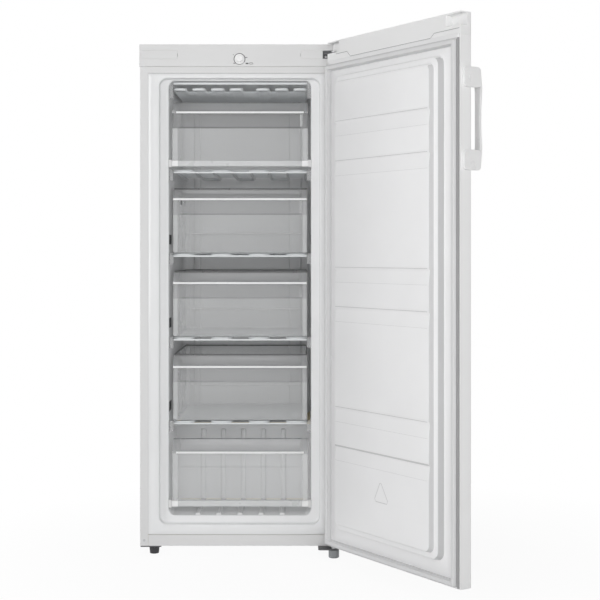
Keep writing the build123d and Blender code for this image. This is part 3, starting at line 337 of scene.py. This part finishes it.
def rounded(node, width, mat, segments=3, angle=30):
    """Replaces a node by a copy with its edges rounded over."""
    body = nodes[node]["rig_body"]
    obj = add_piece("vis_" + node, clean_copy(node), mat, body, (node,), Matrix.Identity(4))
    bevel = obj.modifiers.new("round", "BEVEL")
    bevel.width = width
    bevel.segments = segments
    bevel.limit_method = "ANGLE"
    bevel.angle_limit = radians(angle)
    bevel.use_clamp_overlap = True
    bevel.miter_outer = "MITER_ARC"
    apply_modifiers(obj)
    smooth(obj, 40)
    weighted = obj.modifiers.new("flat", "WEIGHTED_NORMAL")
    weighted.keep_sharp = True
    weighted.weight = 60
    return obj


def apply_modifiers(obj):
    """Bakes the piece's modifiers into its mesh."""
    bpy.context.view_layer.update()
    depsgraph = bpy.context.evaluated_depsgraph_get()
    baked = bpy.data.meshes.new_from_object(obj.evaluated_get(depsgraph))
    old = obj.data
    obj.modifiers.clear()
    obj.data = baked
    bpy.data.meshes.remove(old)


def keep(node, mat, angle=35):
    """Keeps a node's own shape, with smooth shading and a better material."""
    obj = nodes[node]
    obj.data.materials.clear()
    obj.data.materials.append(mat)
    smooth(obj, angle)
    return obj


def rim(half, low, high, radius, y, spans=40, turns=8):
    """Points round a rounded rectangle in the front view, anticlockwise from the right side's foot.
    y is a number, or a function of z. spans counts the steps along a side and turns those round a
    corner, so every rim with the same two has the same count."""
    depth = y if callable(y) else (lambda z: y)
    length = high - low - 2 * radius
    points = []

    def side(x, foot, run):
        for i in range(spans):
            z = foot + run * i / spans
            points.append((x, depth(z), z))

    def corner(x, middle, start):
        for i in range(turns):
            a = start + pi / 2 * i / turns
            z = middle + radius * sin(a)
            points.append((x + radius * cos(a), depth(z), z))

    side(half, low + radius, length)
    corner(half - radius, high - radius, 0)
    corner(-half + radius, high - radius, pi / 2)
    side(-half, high - radius, -length)
    corner(-half + radius, low + radius, pi)
    corner(half - radius, low + radius, 3 * pi / 2)
    return points


def loft(name, rings, closed_loop=False, ladder=0):
    """Skins rings of equal count. ladder closes the last ring with strips across it: the number is
    the count of its straight spans, so that each strip runs level from side to side."""
    bm = bmesh.new()
    rows = [[bm.verts.new(p) for p in ring] for ring in rings]
    count = len(rows[0])
    pairs = list(zip(rows, rows[1:]))
    if closed_loop:
        pairs.append((rows[-1], rows[0]))
    for a, b in pairs:
        for i in range(count):
            j = (i + 1) % count
            bm.faces.new((a[i], a[j], b[j], b[i]))
    if ladder:
        ring = rows[-1]
        turns = (count - 2 * ladder) // 4
        right = [ring[i % count] for i in range(-turns, ladder + turns + 1)]
        left = [ring[(2 * ladder + 3 * turns - i) % count] for i in range(len(right))]
        for i in range(len(right) - 1):
            strip = list(dict.fromkeys([right[i], right[i + 1], left[i + 1], left[i]]))
            if len(strip) > 2:
                bm.faces.new(strip)
    weld(bm, 0.000001)
    return finished(bm, name)


def pad(name, lo, hi, radius, segments=3):
    """A block with every edge rounded over."""
    bm = bmesh.new()
    bmesh.ops.create_cube(bm, size=1)
    lo, hi = Vector(lo), Vector(hi)
    for v in bm.verts:
        v.co = Vector([(lo[i] + hi[i]) / 2 + v.co[i] * (hi[i] - lo[i]) for i in range(3)])
    bmesh.ops.bevel(
        bm, geom=bm.edges[:], offset=radius, segments=segments, profile=0.5, affect="EDGES"
    )
    return finished(bm, name)


def drop_faces(mesh, test):
    """Deletes the faces whose normal passes the test."""
    bm = bmesh.new()
    bm.from_mesh(mesh)
    bmesh.ops.delete(bm, geom=[face for face in bm.faces if test(face.normal)], context="FACES")
    bm.to_mesh(mesh)
    bm.free()


def merge(name, meshes):
    """Several meshes as one."""
    bm = bmesh.new()
    for mesh in meshes:
        bm.from_mesh(mesh)
        bpy.data.meshes.remove(mesh)
    return finished(bm, name)


def second_material(obj, mat, flags):
    """Gives the flagged faces another material."""
    obj.data.materials.append(mat)
    for face, flag in zip(obj.data.polygons, flags):
        face.material_index = int(flag)


def ribbon(points, width, y, closed=False):
    """A flat line of even width in the front view, just proud of a surface at depth y."""
    line = [Vector(p) for p in points]
    count = len(line)
    bm = bmesh.new()
    rows = []
    for i, at in enumerate(line):
        before = line[i - 1] if i or closed else at
        after = line[(i + 1) % count] if i + 1 < count or closed else at
        along = (after - before).normalized()
        side = Vector((-along.y, along.x)) * width / 2
        rows.append([bm.verts.new((p.x, y, p.y)) for p in (at + side, at - side)])
    pairs = list(zip(rows, rows[1:])) + ([(rows[-1], rows[0])] if closed else [])
    for a, b in pairs:
        bm.faces.new((a[0], b[0], b[1], a[1]))
    bmesh.ops.recalc_face_normals(bm, faces=bm.faces)
    return finished(bm, "ribbon")


def arc(x, z, radius, start, end, steps=24):
    """Points on an arc, with its angles in degrees."""
    turns = [radians(start + (end - start) * i / steps) for i in range(steps + 1)]
    return [(x + radius * cos(a), z + radius * sin(a)) for a in turns]


# ---- Cabinet shell -----------------------------------------------------------------------------
rounded("outer_case", 0.0008, M["case"])
rounded("bottom_rail", 0.0025, M["case"])
rounded("control_fascia", 0.0012, M["trim"])
rounded("hinge_covers", 0.0006, M["trim"])
keep("back_panel", M["zinc"])
keep("base_pan", M["zinc"])
keep("top_cross_rail", M["zinc"])
keep("foam_insulation", M["foam"])
keep("thermostat_body", M["dark"])


# ---- Cabinet liner -----------------------------------------------------------------------------
OPENING_LOW = 0.105
OPENING_HIGH = 1.315
HUMP_HALF = 0.2135  # ends in the foam, so that its rounded edges don't show
HUMP_REACH = 0.246  # front flange to the wall in front of the compressor
RIB_COUNT = 5
RIB_PITCH = 0.059
RIB_WIDTH = 0.015
DUCTS = ((-0.1515, 0.021), (0.152, 0.038))  # middle and width of the ridges on the back wall


def liner():
    """The front flange, the stepped frame behind it and the tub, with the hump, ribs and ducts.
    The steps are pairs: how far the wall has drawn in, and how far back it is."""
    corner, ease = 0.003, 0.0006
    rings = [
        rim(FLANGE_HALF, FLANGE_LOW, FLANGE_HIGH, corner, FRONT + 0.002),
        rim(FLANGE_HALF, FLANGE_LOW, FLANGE_HIGH, corner, FRONT + ease),
        rim(FLANGE_HALF - ease, FLANGE_LOW + ease, FLANGE_HIGH - ease, corner, FRONT),
    ]

    def draw_in(half, low, high, radius, tightening, steps):
        for inset, back in steps:
            turn = radius - inset * tightening
            rings.append(rim(half - inset, low + inset, high - inset, turn, FRONT + back))

    recess = (
        (-0.003, 0), (-0.0009, 0.0009), (0, 0.003), (0, 0.016), (0.0012, 0.0188), (0.004, 0.02),
    )
    draw_in(0.222, 0.084, 1.318, 0.022, 0.8, recess)
    opening = (0.198, OPENING_LOW, OPENING_HIGH, 0.020)
    draw_in(*opening, 0.8, ((-0.003, 0.02), (-0.0009, 0.0209), (0, 0.023)))
    draw_in(*opening, 0.3, ((0, 0.425), (0.0044, 0.4356), (0.015, 0.44)))
    tub = loft("liner_tub", rings, ladder=40)

    lo, hi = (-HUMP_HALF, FRONT + HUMP_REACH, 0.1), (HUMP_HALF, FRONT + 0.445, 0.335)
    hump = pad("hump", lo, hi, 0.014, 5)
    drop_faces(hump, lambda n: n.y > 0.5 or n.z < -0.5 or abs(n.x) > 0.5)
    parts = [tub, hump]
    for step in range(RIB_COUNT):
        x = (step - RIB_COUNT // 2) * RIB_PITCH
        # Each rib runs along the floor and then up the hump's front.
        for near, top in ((0.03, 0.110), (0.241, 0.315)):
            lo = (x - RIB_WIDTH / 2, FRONT + near, 0.095)
            hi = (x + RIB_WIDTH / 2, FRONT + 0.26, top)
            parts.append(pad("rib", lo, hi, 0.0042))
    for x, width in DUCTS:
        lo = (x - width / 2, FRONT + 0.433, 0.33)
        hi = (x + width / 2, FRONT + 0.45, OPENING_HIGH - 0.0005)
        parts.append(pad("duct", lo, hi, 0.004))
    return merge("liner", parts)


shell = liner()
smooth(add_piece("vis_inner_liner", shell, M["liner"], "cabinet", ("inner_liner",)), 50)

# ---- Evaporator shelves ------------------------------------------------------------------------
for level in range(1, 6):
    keep(f"evaporator_shelf_{level}", M["tube"], 60)
keep("shelf_wires", M["wire"], 60)
rounded("shelf_front_bars", 0.0007, M["tube"])
rounded("shelf_clips", 0.0012, M["frosted_clip"])
rounded("flap_pivot_holders", 0.0012, M["trim"])


# ---- Drawers and flaps -------------------------------------------------------------------------
SKIN_ANGLE = 40  # degrees; sharper edges of the clear sheets stay sharp
BIN_LIFT = 0.0003  # shelf to a drawer's underside
TOP_FLAP_RISE = 0.0075  # shelf to the lower edge of the flap above it
BOTTOM_FLAP_FOOT = 0.129
GRIP_EASE = 0.0008


def soften(points, radius, steps=3):
    """Rounds the inner corners of a line of points."""
    line = [Vector(p) for p in points]
    out = [line[0]]
    for before, at, after in zip(line, line[1:], line[2:]):
        start = at + (before - at).normalized() * min(radius, (before - at).length * 0.45)
        end = at + (after - at).normalized() * min(radius, (after - at).length * 0.45)
        for i in range(steps + 1):
            t = i / steps
            out.append(start.lerp(at, t).lerp(at.lerp(end, t), t))
    out.append(line[-1])
    return out


def columns(half, corner):
    """Stations across a bin, left to right: x, how far the corner draws in, and how much of the
    front's carving shows."""
    inner = half - POST
    fade = 0.011
    side = [(0.06, 0, 1), (0.12, 0, 1)]
    for i in range(7):
        t = i / 6
        side.append((inner - fade + fade * t, 0, 1 - t * t * (3 - 2 * t)))
    for i in range(5):
        a = pi / 8 * i
        side.append((half - corner + corner * sin(a), corner * (1 - cos(a)), 0))
    return [(-x, *rest) for x, *rest in reversed(side)] + [(0, 0, 1)] + side


def lip_line(rim, inset, carve):
    """Section of a front from above its finger recess's foot up to the rim, as (y, z)."""
    ledge = rim - LIP_DROP
    under = ledge - LEDGE_HEIGHT
    face = PANEL + inset
    proud = face - LEDGE_PROUD
    deep = face + 0.005 * carve
    points = [
        (face, under - 0.041), (deep, under - 0.036), (deep, under), (proud, under), (proud, ledge),
    ]
    line = soften(points, 0.0012)
    steps = 10
    for i in range(1, steps + 1):
        t = i / steps
        sag = 4 * t * (1 - t) * carve
        y = proud + (0.047 - inset) * t + 0.004 * sag
        line.append(Vector((y, ledge + LIP_DROP * t - 0.008 * sag)))
    return line


def tub_line(rim, inset):
    """Section of a drawer's panel, floor and rear wall, from the recess's foot to the rear rim."""
    floor = rim - BIN_HEIGHT
    rear = BIN_REAR - inset
    points = [
        (PANEL + inset, rim - RECESS_FOOT),
        (PANEL + inset, floor + inset),
        (rear - 0.004, floor + inset),
        (rear - 0.004, floor + 0.054),
        (rear, floor + 0.058),
        (rear, rim),
    ]
    return soften(points, 0.004)


def skin(name, lines, sides=()):
    """A sheet through the (x, section) pairs in lines, plus a flat sheet for each of sides."""
    bm = bmesh.new()
    rows = [[bm.verts.new((x, y, z)) for y, z in line] for x, line in lines]
    for a, b in zip(rows, rows[1:]):
        for i in range(len(a) - 1):
            bm.faces.new((a[i], b[i], b[i + 1], a[i + 1]))
    for x, outline in sides:
        bm.faces.new([bm.verts.new((x, y, z)) for y, z in outline])
    weld(bm, 0.00001)
    return finished(bm, name)


def rim_band(name, y_span, z, depth=0.003, wall=0.0025, corner=0.005):
    """The thick upper edge that runs round a bin, as a closed square tube with eased edges."""
    ease = 0.0005
    section = (
        (0, 0), (0, depth - ease), (ease, depth),
        (wall - ease, depth), (wall, depth - ease), (wall, 0),
    )
    rings = []
    for draw, rise in section:
        ring = []
        half, front_y, rear_y = BIN_HALF - draw, y_span[0] + draw, y_span[1] - draw
        radius = max(corner - draw, 0.001)
        turns = ((half, rear_y), (-half, rear_y), (-half, front_y), (half, front_y))
        for quarter, (corner_x, corner_y) in enumerate(turns):
            x = corner_x - radius * (1 if corner_x > 0 else -1)
            y = corner_y - radius * (1 if quarter < 2 else -1)
            for i in range(5):
                a = pi / 2 * (quarter + i / 4)
                ring.append((x + radius * cos(a), y + radius * sin(a), z - depth + rise))
        rings.append(ring)
    return loft(name, rings, closed_loop=True)


def front_skins(rim, stations):
    """The finger recess under the grip, and the ledge and scoop above it, as two sheets."""
    lines = [(x, lip_line(rim, inset, carve)) for x, inset, carve in stations]
    turn = 9  # points up to the top of the recess
    recess = skin("recess", [(x, line[:turn]) for x, line in lines])
    return recess, skin("lip", [(x, line[turn - 1:]) for x, line in lines])


def clear_piece(name, mesh, mat, body, replaces=()):
    """Adds a sheet of clear plastic with smooth shading."""
    smooth(add_piece(name, mesh, M[mat], body, replaces), SKIN_ANGLE)


def drawer(node, rim):
    """A clear bin: tub, carved front, thick edge and white grip."""
    body = nodes[node]["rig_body"]
    stations = columns(BIN_HALF, 0.004)
    tub = skin("tub", [(x, tub_line(rim, inset)) for x, inset, carve in stations])
    recess, lip = front_skins(rim, stations)
    ends = []
    for x, inset, carve in (stations[0], stations[-1]):
        ends.append((x, tub_line(rim, inset) + list(reversed(lip_line(rim, inset, carve)))[:-1]))
    walls = skin("walls", [], ends)
    clear_piece("vis_" + node, merge("tub", [tub, walls]), "clear", body, (node,))
    clear_piece(node + "_front", lip, "clear_lip", body)
    # The finger recess takes the darker recess plastic: painted shade under the grip.
    clear_piece(node + "_recess", recess, "recess", body)

    # A bright opaque bead on the step across the rear wall: a painted highlight where its upward face
    # catches the light.
    ledge = rim - BIN_HEIGHT + 0.060  # the step across the rear wall
    lo = (-0.168, BIN_REAR - 0.0052, ledge - 0.0008)
    hi = (0.168, BIN_REAR - 0.0036, ledge + 0.0008)
    add_piece(node + "_ledge_highlight", pad("highlight_bead", lo, hi, 0.0005), M["bright"], body)
    band = rim_band("band", (PANEL + 0.032, BIN_REAR), rim, depth=0.004)
    clear_piece(node + "_rim", band, "clear_edge", body)
    rounded(node + "_grip", GRIP_EASE, M["bright"])
    if node == "drawer_1":
        top = rim - 0.0362
        lo, hi = (-0.1655, PANEL + 0.003, top - 0.012), (-0.163, PANEL + 0.0048, top)
        add_piece(node + "_gate", pad("gate", lo, hi, 0.0006), M["dark"], body)


def flap(node, foot, recess_shade_mat):
    """A clear front on a bar, with short cheeks and white pivot blocks."""
    body = nodes[node]["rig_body"]
    rim = foot + FLAP_HEIGHT
    bar_top = foot + 0.016
    cheek = PANEL + 0.041  # rear edge of the cheeks
    stations = columns(FLAP_HALF, 0.003)
    foot_of_recess = rim - RECESS_FOOT
    panel = skin("panel", [
        (x, [(PANEL + inset, bar_top), (PANEL + inset, foot_of_recess)]) for x, inset, carve in stations
    ])
    recess, lip = front_skins(rim, stations)
    ends = []
    for x, inset, carve in (stations[0], stations[-1]):
        outline = [(PANEL + 0.008, bar_top), (PANEL + inset, bar_top)] + lip_line(rim, inset, carve)
        ends.append((x, outline + [(cheek, rim)]))
    walls = skin("walls", [], ends)
    clear_piece("vis_" + node, merge("panel", [panel, walls]), "clear", body, (node,))
    clear_piece(node + "_front", lip, "clear_lip", body)
    # The recess's material darkens it as painted shade under the grip.
    clear_piece(node + "_recess", recess, recess_shade_mat, body)

    bar_front = PANEL - 0.010
    inner = FLAP_HALF - 0.017  # the bar ends at the pivot blocks
    bar = pad("bar", (-inner, bar_front, foot), (inner, bar_front + 0.014, bar_top), 0.0012)
    clear_piece(node + "_bar", bar, "frosted", body)
    edge = pad("edge", (-FLAP_HALF, cheek - 0.0035, rim - 0.003), (FLAP_HALF, cheek, rim), 0.0008)
    clear_piece(node + "_rim", edge, "clear_edge", body)
    rounded(node + "_grip", GRIP_EASE, M["bright"])
    rounded(node + "_pivots", 0.0012, M["bright"])


for index, shelf in enumerate(reversed(SHELVES[:3]), start=1):
    drawer(f"drawer_{index}", shelf + BIN_LIFT + BIN_HEIGHT)
# The top flap's recess takes the darkest painted shade and the bottom flap's none.
flap("top_flap", SHELVES[3] + TOP_FLAP_RISE, "top_recess_shade")
flap("bottom_flap", BOTTOM_FLAP_FOOT, "clear")

# ---- Door --------------------------------------------------------------------------------------
keep("door_skin", M["door"])
keep("door_foam", M["foam"])
rounded("door_top_cap", 0.0014, M["cap"])
rounded("door_bottom_cap", 0.0014, M["cap"])
keep("door_hinge_bushes", M["bright"])

DOOR_HALF, DOOR_LOW, DOOR_HIGH = 0.272, 0.034, 1.361  # the inner panel's edge
DOOR_SPANS = 240  # steps up the panel's sides, fine enough for its creases
CREASES = (1.187, 1.081, 0.797, 0.692, 0.4245, 0.3215)  # where the three bands start and end
CREASE_DEPTH = 0.0034
CREASE_EDGE = 0.003  # height over which a crease drops
CREASE_RUN = 0.04  # height over which it has run out again


def band_dip(z):
    """How far the door's inner panel lies back at height z: each band starts and ends with a sharp
    downward-facing step that runs out again."""
    dip = 0.0
    for top in CREASES:
        below = top - z
        if 0 < below < CREASE_RUN:
            rise = (CREASE_RUN - below) / (CREASE_RUN - CREASE_EDGE)
            dip = max(dip, CREASE_DEPTH * min(below / CREASE_EDGE, rise))
    return dip


def door_panel():
    """The edge strip, the outer step, the ledge and the inner step as one skin, with creased bands.
    The steps are pairs: how far the wall has drawn in, and how far it stands off the door."""
    corner, ease = 0.003, 0.0003
    eased = (DOOR_HALF - ease, DOOR_LOW + ease, DOOR_HIGH - ease)
    rings = [
        rim(DOOR_HALF, DOOR_LOW, DOOR_HIGH, corner, DOOR_IN + 0.0002, DOOR_SPANS),
        rim(DOOR_HALF, DOOR_LOW, DOOR_HIGH, corner, DOOR_IN + 0.0012, DOOR_SPANS),
        rim(*eased, corner, DOOR_IN + 0.0015, DOOR_SPANS),
    ]
    outer = (
        (-0.003, 0.0015), (-0.0008, 0.0022), (0.0003, 0.0045), (0.0028, 0.0165), (0.0036, 0.0184),
    )
    ledge = ((0.0056, 0.019), (0.0157, 0.019), (0.0176, 0.0197))
    inner = ((0.0184, 0.0215), (0.0205, 0.0305), (0.0215, 0.0324), (0.0235, 0.0330))
    for inset, lift in outer + ledge + inner:
        creased = max(0.0, (lift - 0.019) / 0.014)  # only the inner step and the panel in it are
        half, low, high = 0.217 - inset, 0.088 + inset, 1.314 - inset

        def depth(z, lift=lift, creased=creased):
            return DOOR_IN + lift - band_dip(z) * creased

        rings.append(rim(half, low, high, 0.024 - inset * 0.4, depth, DOOR_SPANS))
    return loft("door_panel", rings, ladder=DOOR_SPANS)


def door_liner():
    """The inner panel. Its steps' upright walls at the free edge's half, and all that face down, get a
    darker grey as painted shade."""
    mesh = door_panel()
    steep = 0.55
    # The faces that take the painted shade.
    walls = [
        (abs(face.normal.x) > steep and face.center.x < 0) or face.normal.z < -steep
        for face in mesh.polygons
    ]
    panel = add_piece(
        "vis_door_liner", mesh, M["door_liner"], "door", ("door_liner",), SWING
    )
    smooth(panel, 60)
    second_material(panel, M["door_step_shade"], walls)


door_liner()


def gasket():
    """The seal's flat foot and its bulb. profile is a section of both: how far in, and how high."""
    profile = (
        (0.0000, 0.0), (0.0000, 0.0045), (0.0006, 0.005), (0.0042, 0.005), (0.0052, 0.0062),
        (0.0052, 0.0082), (0.0061, 0.0092), (0.0052, 0.0102), (0.0052, 0.0124), (0.0064, 0.0143),
        (0.0146, 0.0143), (0.0158, 0.0124), (0.0158, 0.0102), (0.0149, 0.0092), (0.0158, 0.0082),
        (0.0158, 0.0062), (0.0168, 0.005), (0.0176, 0.005), (0.0181, 0.0045), (0.0181, 0.0),
    )
    top, corner, plane = 1.3496, 0.0006, DOOR_IN + 0.0015
    rings = []
    for inset, rise in profile:
        half, low, high = DOOR_HALF - inset, DOOR_LOW + inset, top - inset
        rings.append(rim(half, low, high, corner, plane + rise, spans=8, turns=2))
    base, bulb = loft("base", rings[:5] + rings[-5:]), loft("bulb", rings[4:-4])
    free_side = [face.center.x < -0.25 for face in base.polygons]
    seal = add_piece("vis_door_gasket", base, M["seal"], "door", ("door_gasket",), SWING)
    smooth(seal, 35)
    second_material(seal, M["seal_shade"], free_side)
    smooth(add_piece("gasket_bulb", bulb, M["bulb"], "door", (), SWING), 35)


gasket()
rounded("door_handle", 0.0026, M["bright"], segments=4, angle=25)
rounded("handle_screw_caps", 0.0006, M["bright"])


# ---- Lines and marks ---------------------------------------------------------------------------
DIAL = (0.0, 1.371)  # the thermostat's middle, x and z
PRINT = FRONT - 0.0012 - 0.0003  # just in front of the fascia
FLANGE = FRONT - 0.0003  # just in front of the liner's flange


def door_marks():
    """Lines that show on the door's inner side."""
    # The joint between the inner panel and the top cap, with the cap's middle hanging lower.
    seam = [
        (-0.271, 1.3725), (-0.178, 1.3725), (-0.163, 1.362),
        (0.168, 1.362), (0.184, 1.3765), (0.234, 1.3765),
    ]
    line = ribbon(seam, 0.0017, DOOR_IN + 0.0004)
    add_piece("door_cap_seam", line, M["line"], "door", (), SWING)

    # Painted shade lines along the creases that start and end the panel's three bands, and fainter ones
    # where each crease has run out below them.
    creases = []
    for top in CREASES:
        for z, width in ((top, 0.0016), (top - CREASE_RUN, 0.0006)):
            creases.append(ribbon([(-0.1915, z), (0.1915, z)], width, DOOR_IN + 0.0333))
    lines = merge("creases", creases)
    add_piece("door_crease_shade", lines, M["pale_line_and_crease_shade"], "door", (), SWING)

    # A plain moulded triangle low on the inner panel.
    corners = [
        (-0.0085, 0.248), (-0.0035, 0.248), (0.018, 0.206),
        (0.014, 0.199), (-0.032, 0.199), (-0.036, 0.206),
    ]
    mark = ribbon(corners, 0.0020, DOOR_IN + 0.0334, closed=True)
    add_piece("door_moulded_mark", mark, M["pale_line_and_crease_shade"], "door", (), SWING)


def dial_marks():
    """The thermostat's ring, ticks and pill outline, and the ends of the fascia's middle."""
    marks = [
        ribbon(arc(*DIAL, 0.0152, -32, 226), 0.0019, PRINT),
        ribbon(arc(*DIAL, 0.0152, 226, 328), 0.0008, PRINT),
        ribbon([(0.0156, 1.3752), (0.0218, 1.3752)], 0.0016, PRINT),
        ribbon([(-0.0150, 1.3828), (-0.0185, 1.3828)], 0.0010, PRINT),
        ribbon([(-0.0170, 1.3592), (-0.0110, 1.3592)], 0.0018, PRINT),
        ribbon([(0.0172, 1.3587), (0.0246, 1.3587)], 0.0034, PRINT),
    ]
    pill = arc(0.0352, 1.3587, 0.0019, -90, 90, 8) + arc(0.0290, 1.3587, 0.0019, 90, 270, 8)
    marks.append(ribbon(pill, 0.0009, PRINT, closed=True))
    for x in (-0.1715, 0.168):
        marks.append(ribbon([(x, 1.3863), (x, 1.3778)], 0.0008, PRINT))
    add_piece("dial_marks", merge("marks", marks), M["mark"], "cabinet")


def flange_lines():
    """The joint round the liner's front flange: dark along the top, fainter down the sides."""
    top = FLANGE_HIGH + 0.0002
    line = ribbon([(-FLANGE_HALF, top), (FLANGE_HALF, top)], 0.0014, FLANGE)
    add_piece("flange_joint", line, M["line"], "cabinet")
    high = FLANGE_HIGH - 0.0005
    sides = []
    for x in (-FLANGE_HALF, FLANGE_HALF):
        sides.append(ribbon([(x, FLANGE_LOW), (x, high)], 0.0012, FLANGE))
    add_piece("flange_sides", merge("sides", sides), M["pale_line_and_crease_shade"], "cabinet")


def liner_slot_shade():
    """Near-black pads on the liner's side walls, one pair above each shelf that holds a drawer, painted
    as the shade inside slots.
    """
    slots = []
    for shelf in SHELVES[:3]:
        for side in (-1, 1):
            near, far = sorted((side * 0.1984, side * 0.1972))
            lo, hi = (near, FRONT + 0.034, shelf + 0.024), (far, FRONT + 0.088, shelf + 0.051)
            slots.append(pad("slot", lo, hi, 0.0004))
    add_piece("liner_slot_shade", merge("slots", slots), M["dark"], "cabinet")


door_marks()
dial_marks()
flange_lines()
liner_slot_shade()

# ---- Hinges, feet, dial ------------------------------------------------------------------------
rounded("top_hinge_bracket", 0.0005, M["dark_steel"])
rounded("bottom_hinge_bracket", 0.0006, M["dark_steel"])
keep("hinge_pins", M["steel"])
keep("case_screws", M["steel"])
keep("left_foot_plate", M["dark_steel"])
rounded("left_foot", 0.0012, M["dark"])
keep("right_foot", M["grey"], 25)
rounded("thermostat_knob", 0.0006, M["bright"])

# ---- Compressor room and back ------------------------------------------------------------------
rounded("compressor", 0.002, M["black"])
keep("compressor_grommets", M["rubber"])
rounded("relay_cover", 0.002, M["dark"])
rounded("compressor_tray", 0.0008, M["zinc"])
rounded("rear_feet", 0.0015, M["dark"])
keep("condenser", M["black"], 60)
keep("condenser_wires", M["black"], 60)
rounded("condenser_brackets", 0.0012, M["dark"])
keep("suction_pipe", M["copper"], 60)
keep("filter_drier", M["copper"], 60)
keep("capillary_tube", M["copper"], 60)
rounded("cord_gland", 0.0012, M["dark"])


# ---- Stage -------------------------------------------------------------------------------------
def seen_rays(tree):
    """One for what the camera sees straight, mirrored or through clear plastic; zero for light."""
    rays = tree.nodes.new("ShaderNodeLightPath")
    total = rays.outputs["Is Camera Ray"]
    for kind in ("Is Glossy Ray", "Is Transmission Ray"):
        either = tree.nodes.new("ShaderNodeMath")
        either.operation = "MAXIMUM"
        tree.links.new(total, either.inputs[0])
        tree.links.new(rays.outputs[kind], either.inputs[1])
        total = either.outputs[0]
    return total


def floor():
    """A pale floor that the camera sees as white away from the object. It keeps its shadow."""
    bm = bmesh.new()
    bmesh.ops.create_grid(bm, x_segments=2, y_segments=2, size=14)
    mesh = finished(bm, "floor")
    obj = bpy.data.objects.new("floor", mesh)
    scene.collection.objects.link(obj)
    s = Shader("floor_matt", (0.86, 0.86, 0.86), 0.7)
    s.tint(s.noise(1.2, 2.0), (0.85, 0.85, 0.85), (0.87, 0.87, 0.87))
    glow = s.add("ShaderNodeEmission")
    blend = s.add("ShaderNodeMixShader")
    away = s.add("ShaderNodeVectorMath", operation="LENGTH")
    s.link(s.coords, away.inputs[0])
    near, far = 0.3, 1.2  # distances from the origin
    fade = s.between(away.outputs["Value"], near, far, 0.93, 1.0)
    s.link(s.maths("MULTIPLY", fade, seen_rays(s.tree)), blend.inputs[0])
    s.link(s.bsdf.outputs[0], blend.inputs[1])
    s.link(glow.outputs[0], blend.inputs[2])
    s.link(blend.outputs[0], s.tree.nodes["Material Output"].inputs["Surface"])
    mesh.materials.append(s.mat)


floor()


def backdrop():
    """White to the camera and to mirrors, and a weak even light on everything."""
    world = bpy.data.worlds.new("studio")
    scene.world = world
    world.use_nodes = True
    tree = world.node_tree
    tree.nodes.clear()
    out = tree.nodes.new("ShaderNodeOutputWorld")
    mix = tree.nodes.new("ShaderNodeMixShader")
    seen = tree.nodes.new("ShaderNodeBackground")
    seen.inputs["Color"].default_value = (1, 1, 1, 1)
    lit = tree.nodes.new("ShaderNodeBackground")
    lit.inputs["Color"].default_value = (1, 1, 1, 1)
    lit.inputs["Strength"].default_value = 0.16
    tree.links.new(seen_rays(tree), mix.inputs[0])
    tree.links.new(lit.outputs[0], mix.inputs[1])
    tree.links.new(seen.outputs[0], mix.inputs[2])
    tree.links.new(mix.outputs[0], out.inputs["Surface"])


backdrop()


def lamp(name, at, target, size, power, mirrored=True):
    """A soft box aimed at target. mirrored is whether glossy surfaces show it."""
    data = bpy.data.lights.new(name, "AREA")
    data.shape = "RECTANGLE"
    data.size, data.size_y = size
    data.energy = power
    obj = bpy.data.objects.new(name, data)
    scene.collection.objects.link(obj)
    obj.location = TO_HINGE @ Vector(at)
    obj.visible_glossy = mirrored
    obj.rotation_euler = (Vector(target) - Vector(at)).to_track_quat("-Z", "Y").to_euler()


lamp("front", (0.1, -4.3, 1.75), (0.0, 0.0, 0.75), (2.0, 1.3), 43, mirrored=False)
lamp("low", (0.2, -4.0, 0.3), (0.0, 0.0, 0.9), (2.0, 0.6), 13, mirrored=False)
lamp("left", (-3.4, -2.9, 1.5), (0.1, -0.3, 0.75), (2.0, 2.2), 52)
lamp("right", (2.8, -3.6, 1.2), (0.2, -0.3, 0.75), (1.6, 2.0), 24)
lamp("top", (0.0, -1.0, 3.8), (0.0, -0.2, 0.0), (2.6, 2.6), 10)

# ---- Camera ------------------------------------------------------------------------------------
# The photograph's camera looks level along the cabinet's depth, from in front of the flange.
CAMERA_X, CAMERA_DISTANCE, CAMERA_HEIGHT = 0.1672, 3.4608, 0.8347
camera_data = bpy.data.cameras.new("camera")
camera_data.sensor_width = 36
camera_data.lens = 75.1
camera_data.shift_y = -0.0783
camera = bpy.data.objects.new("camera", camera_data)
scene.collection.objects.link(camera)
camera.location = TO_HINGE @ Vector((CAMERA_X, FRONT - CAMERA_DISTANCE, CAMERA_HEIGHT))
camera.rotation_euler = (radians(90), 0, 0)
scene.camera = camera
scene.view_settings.view_transform = "Standard"
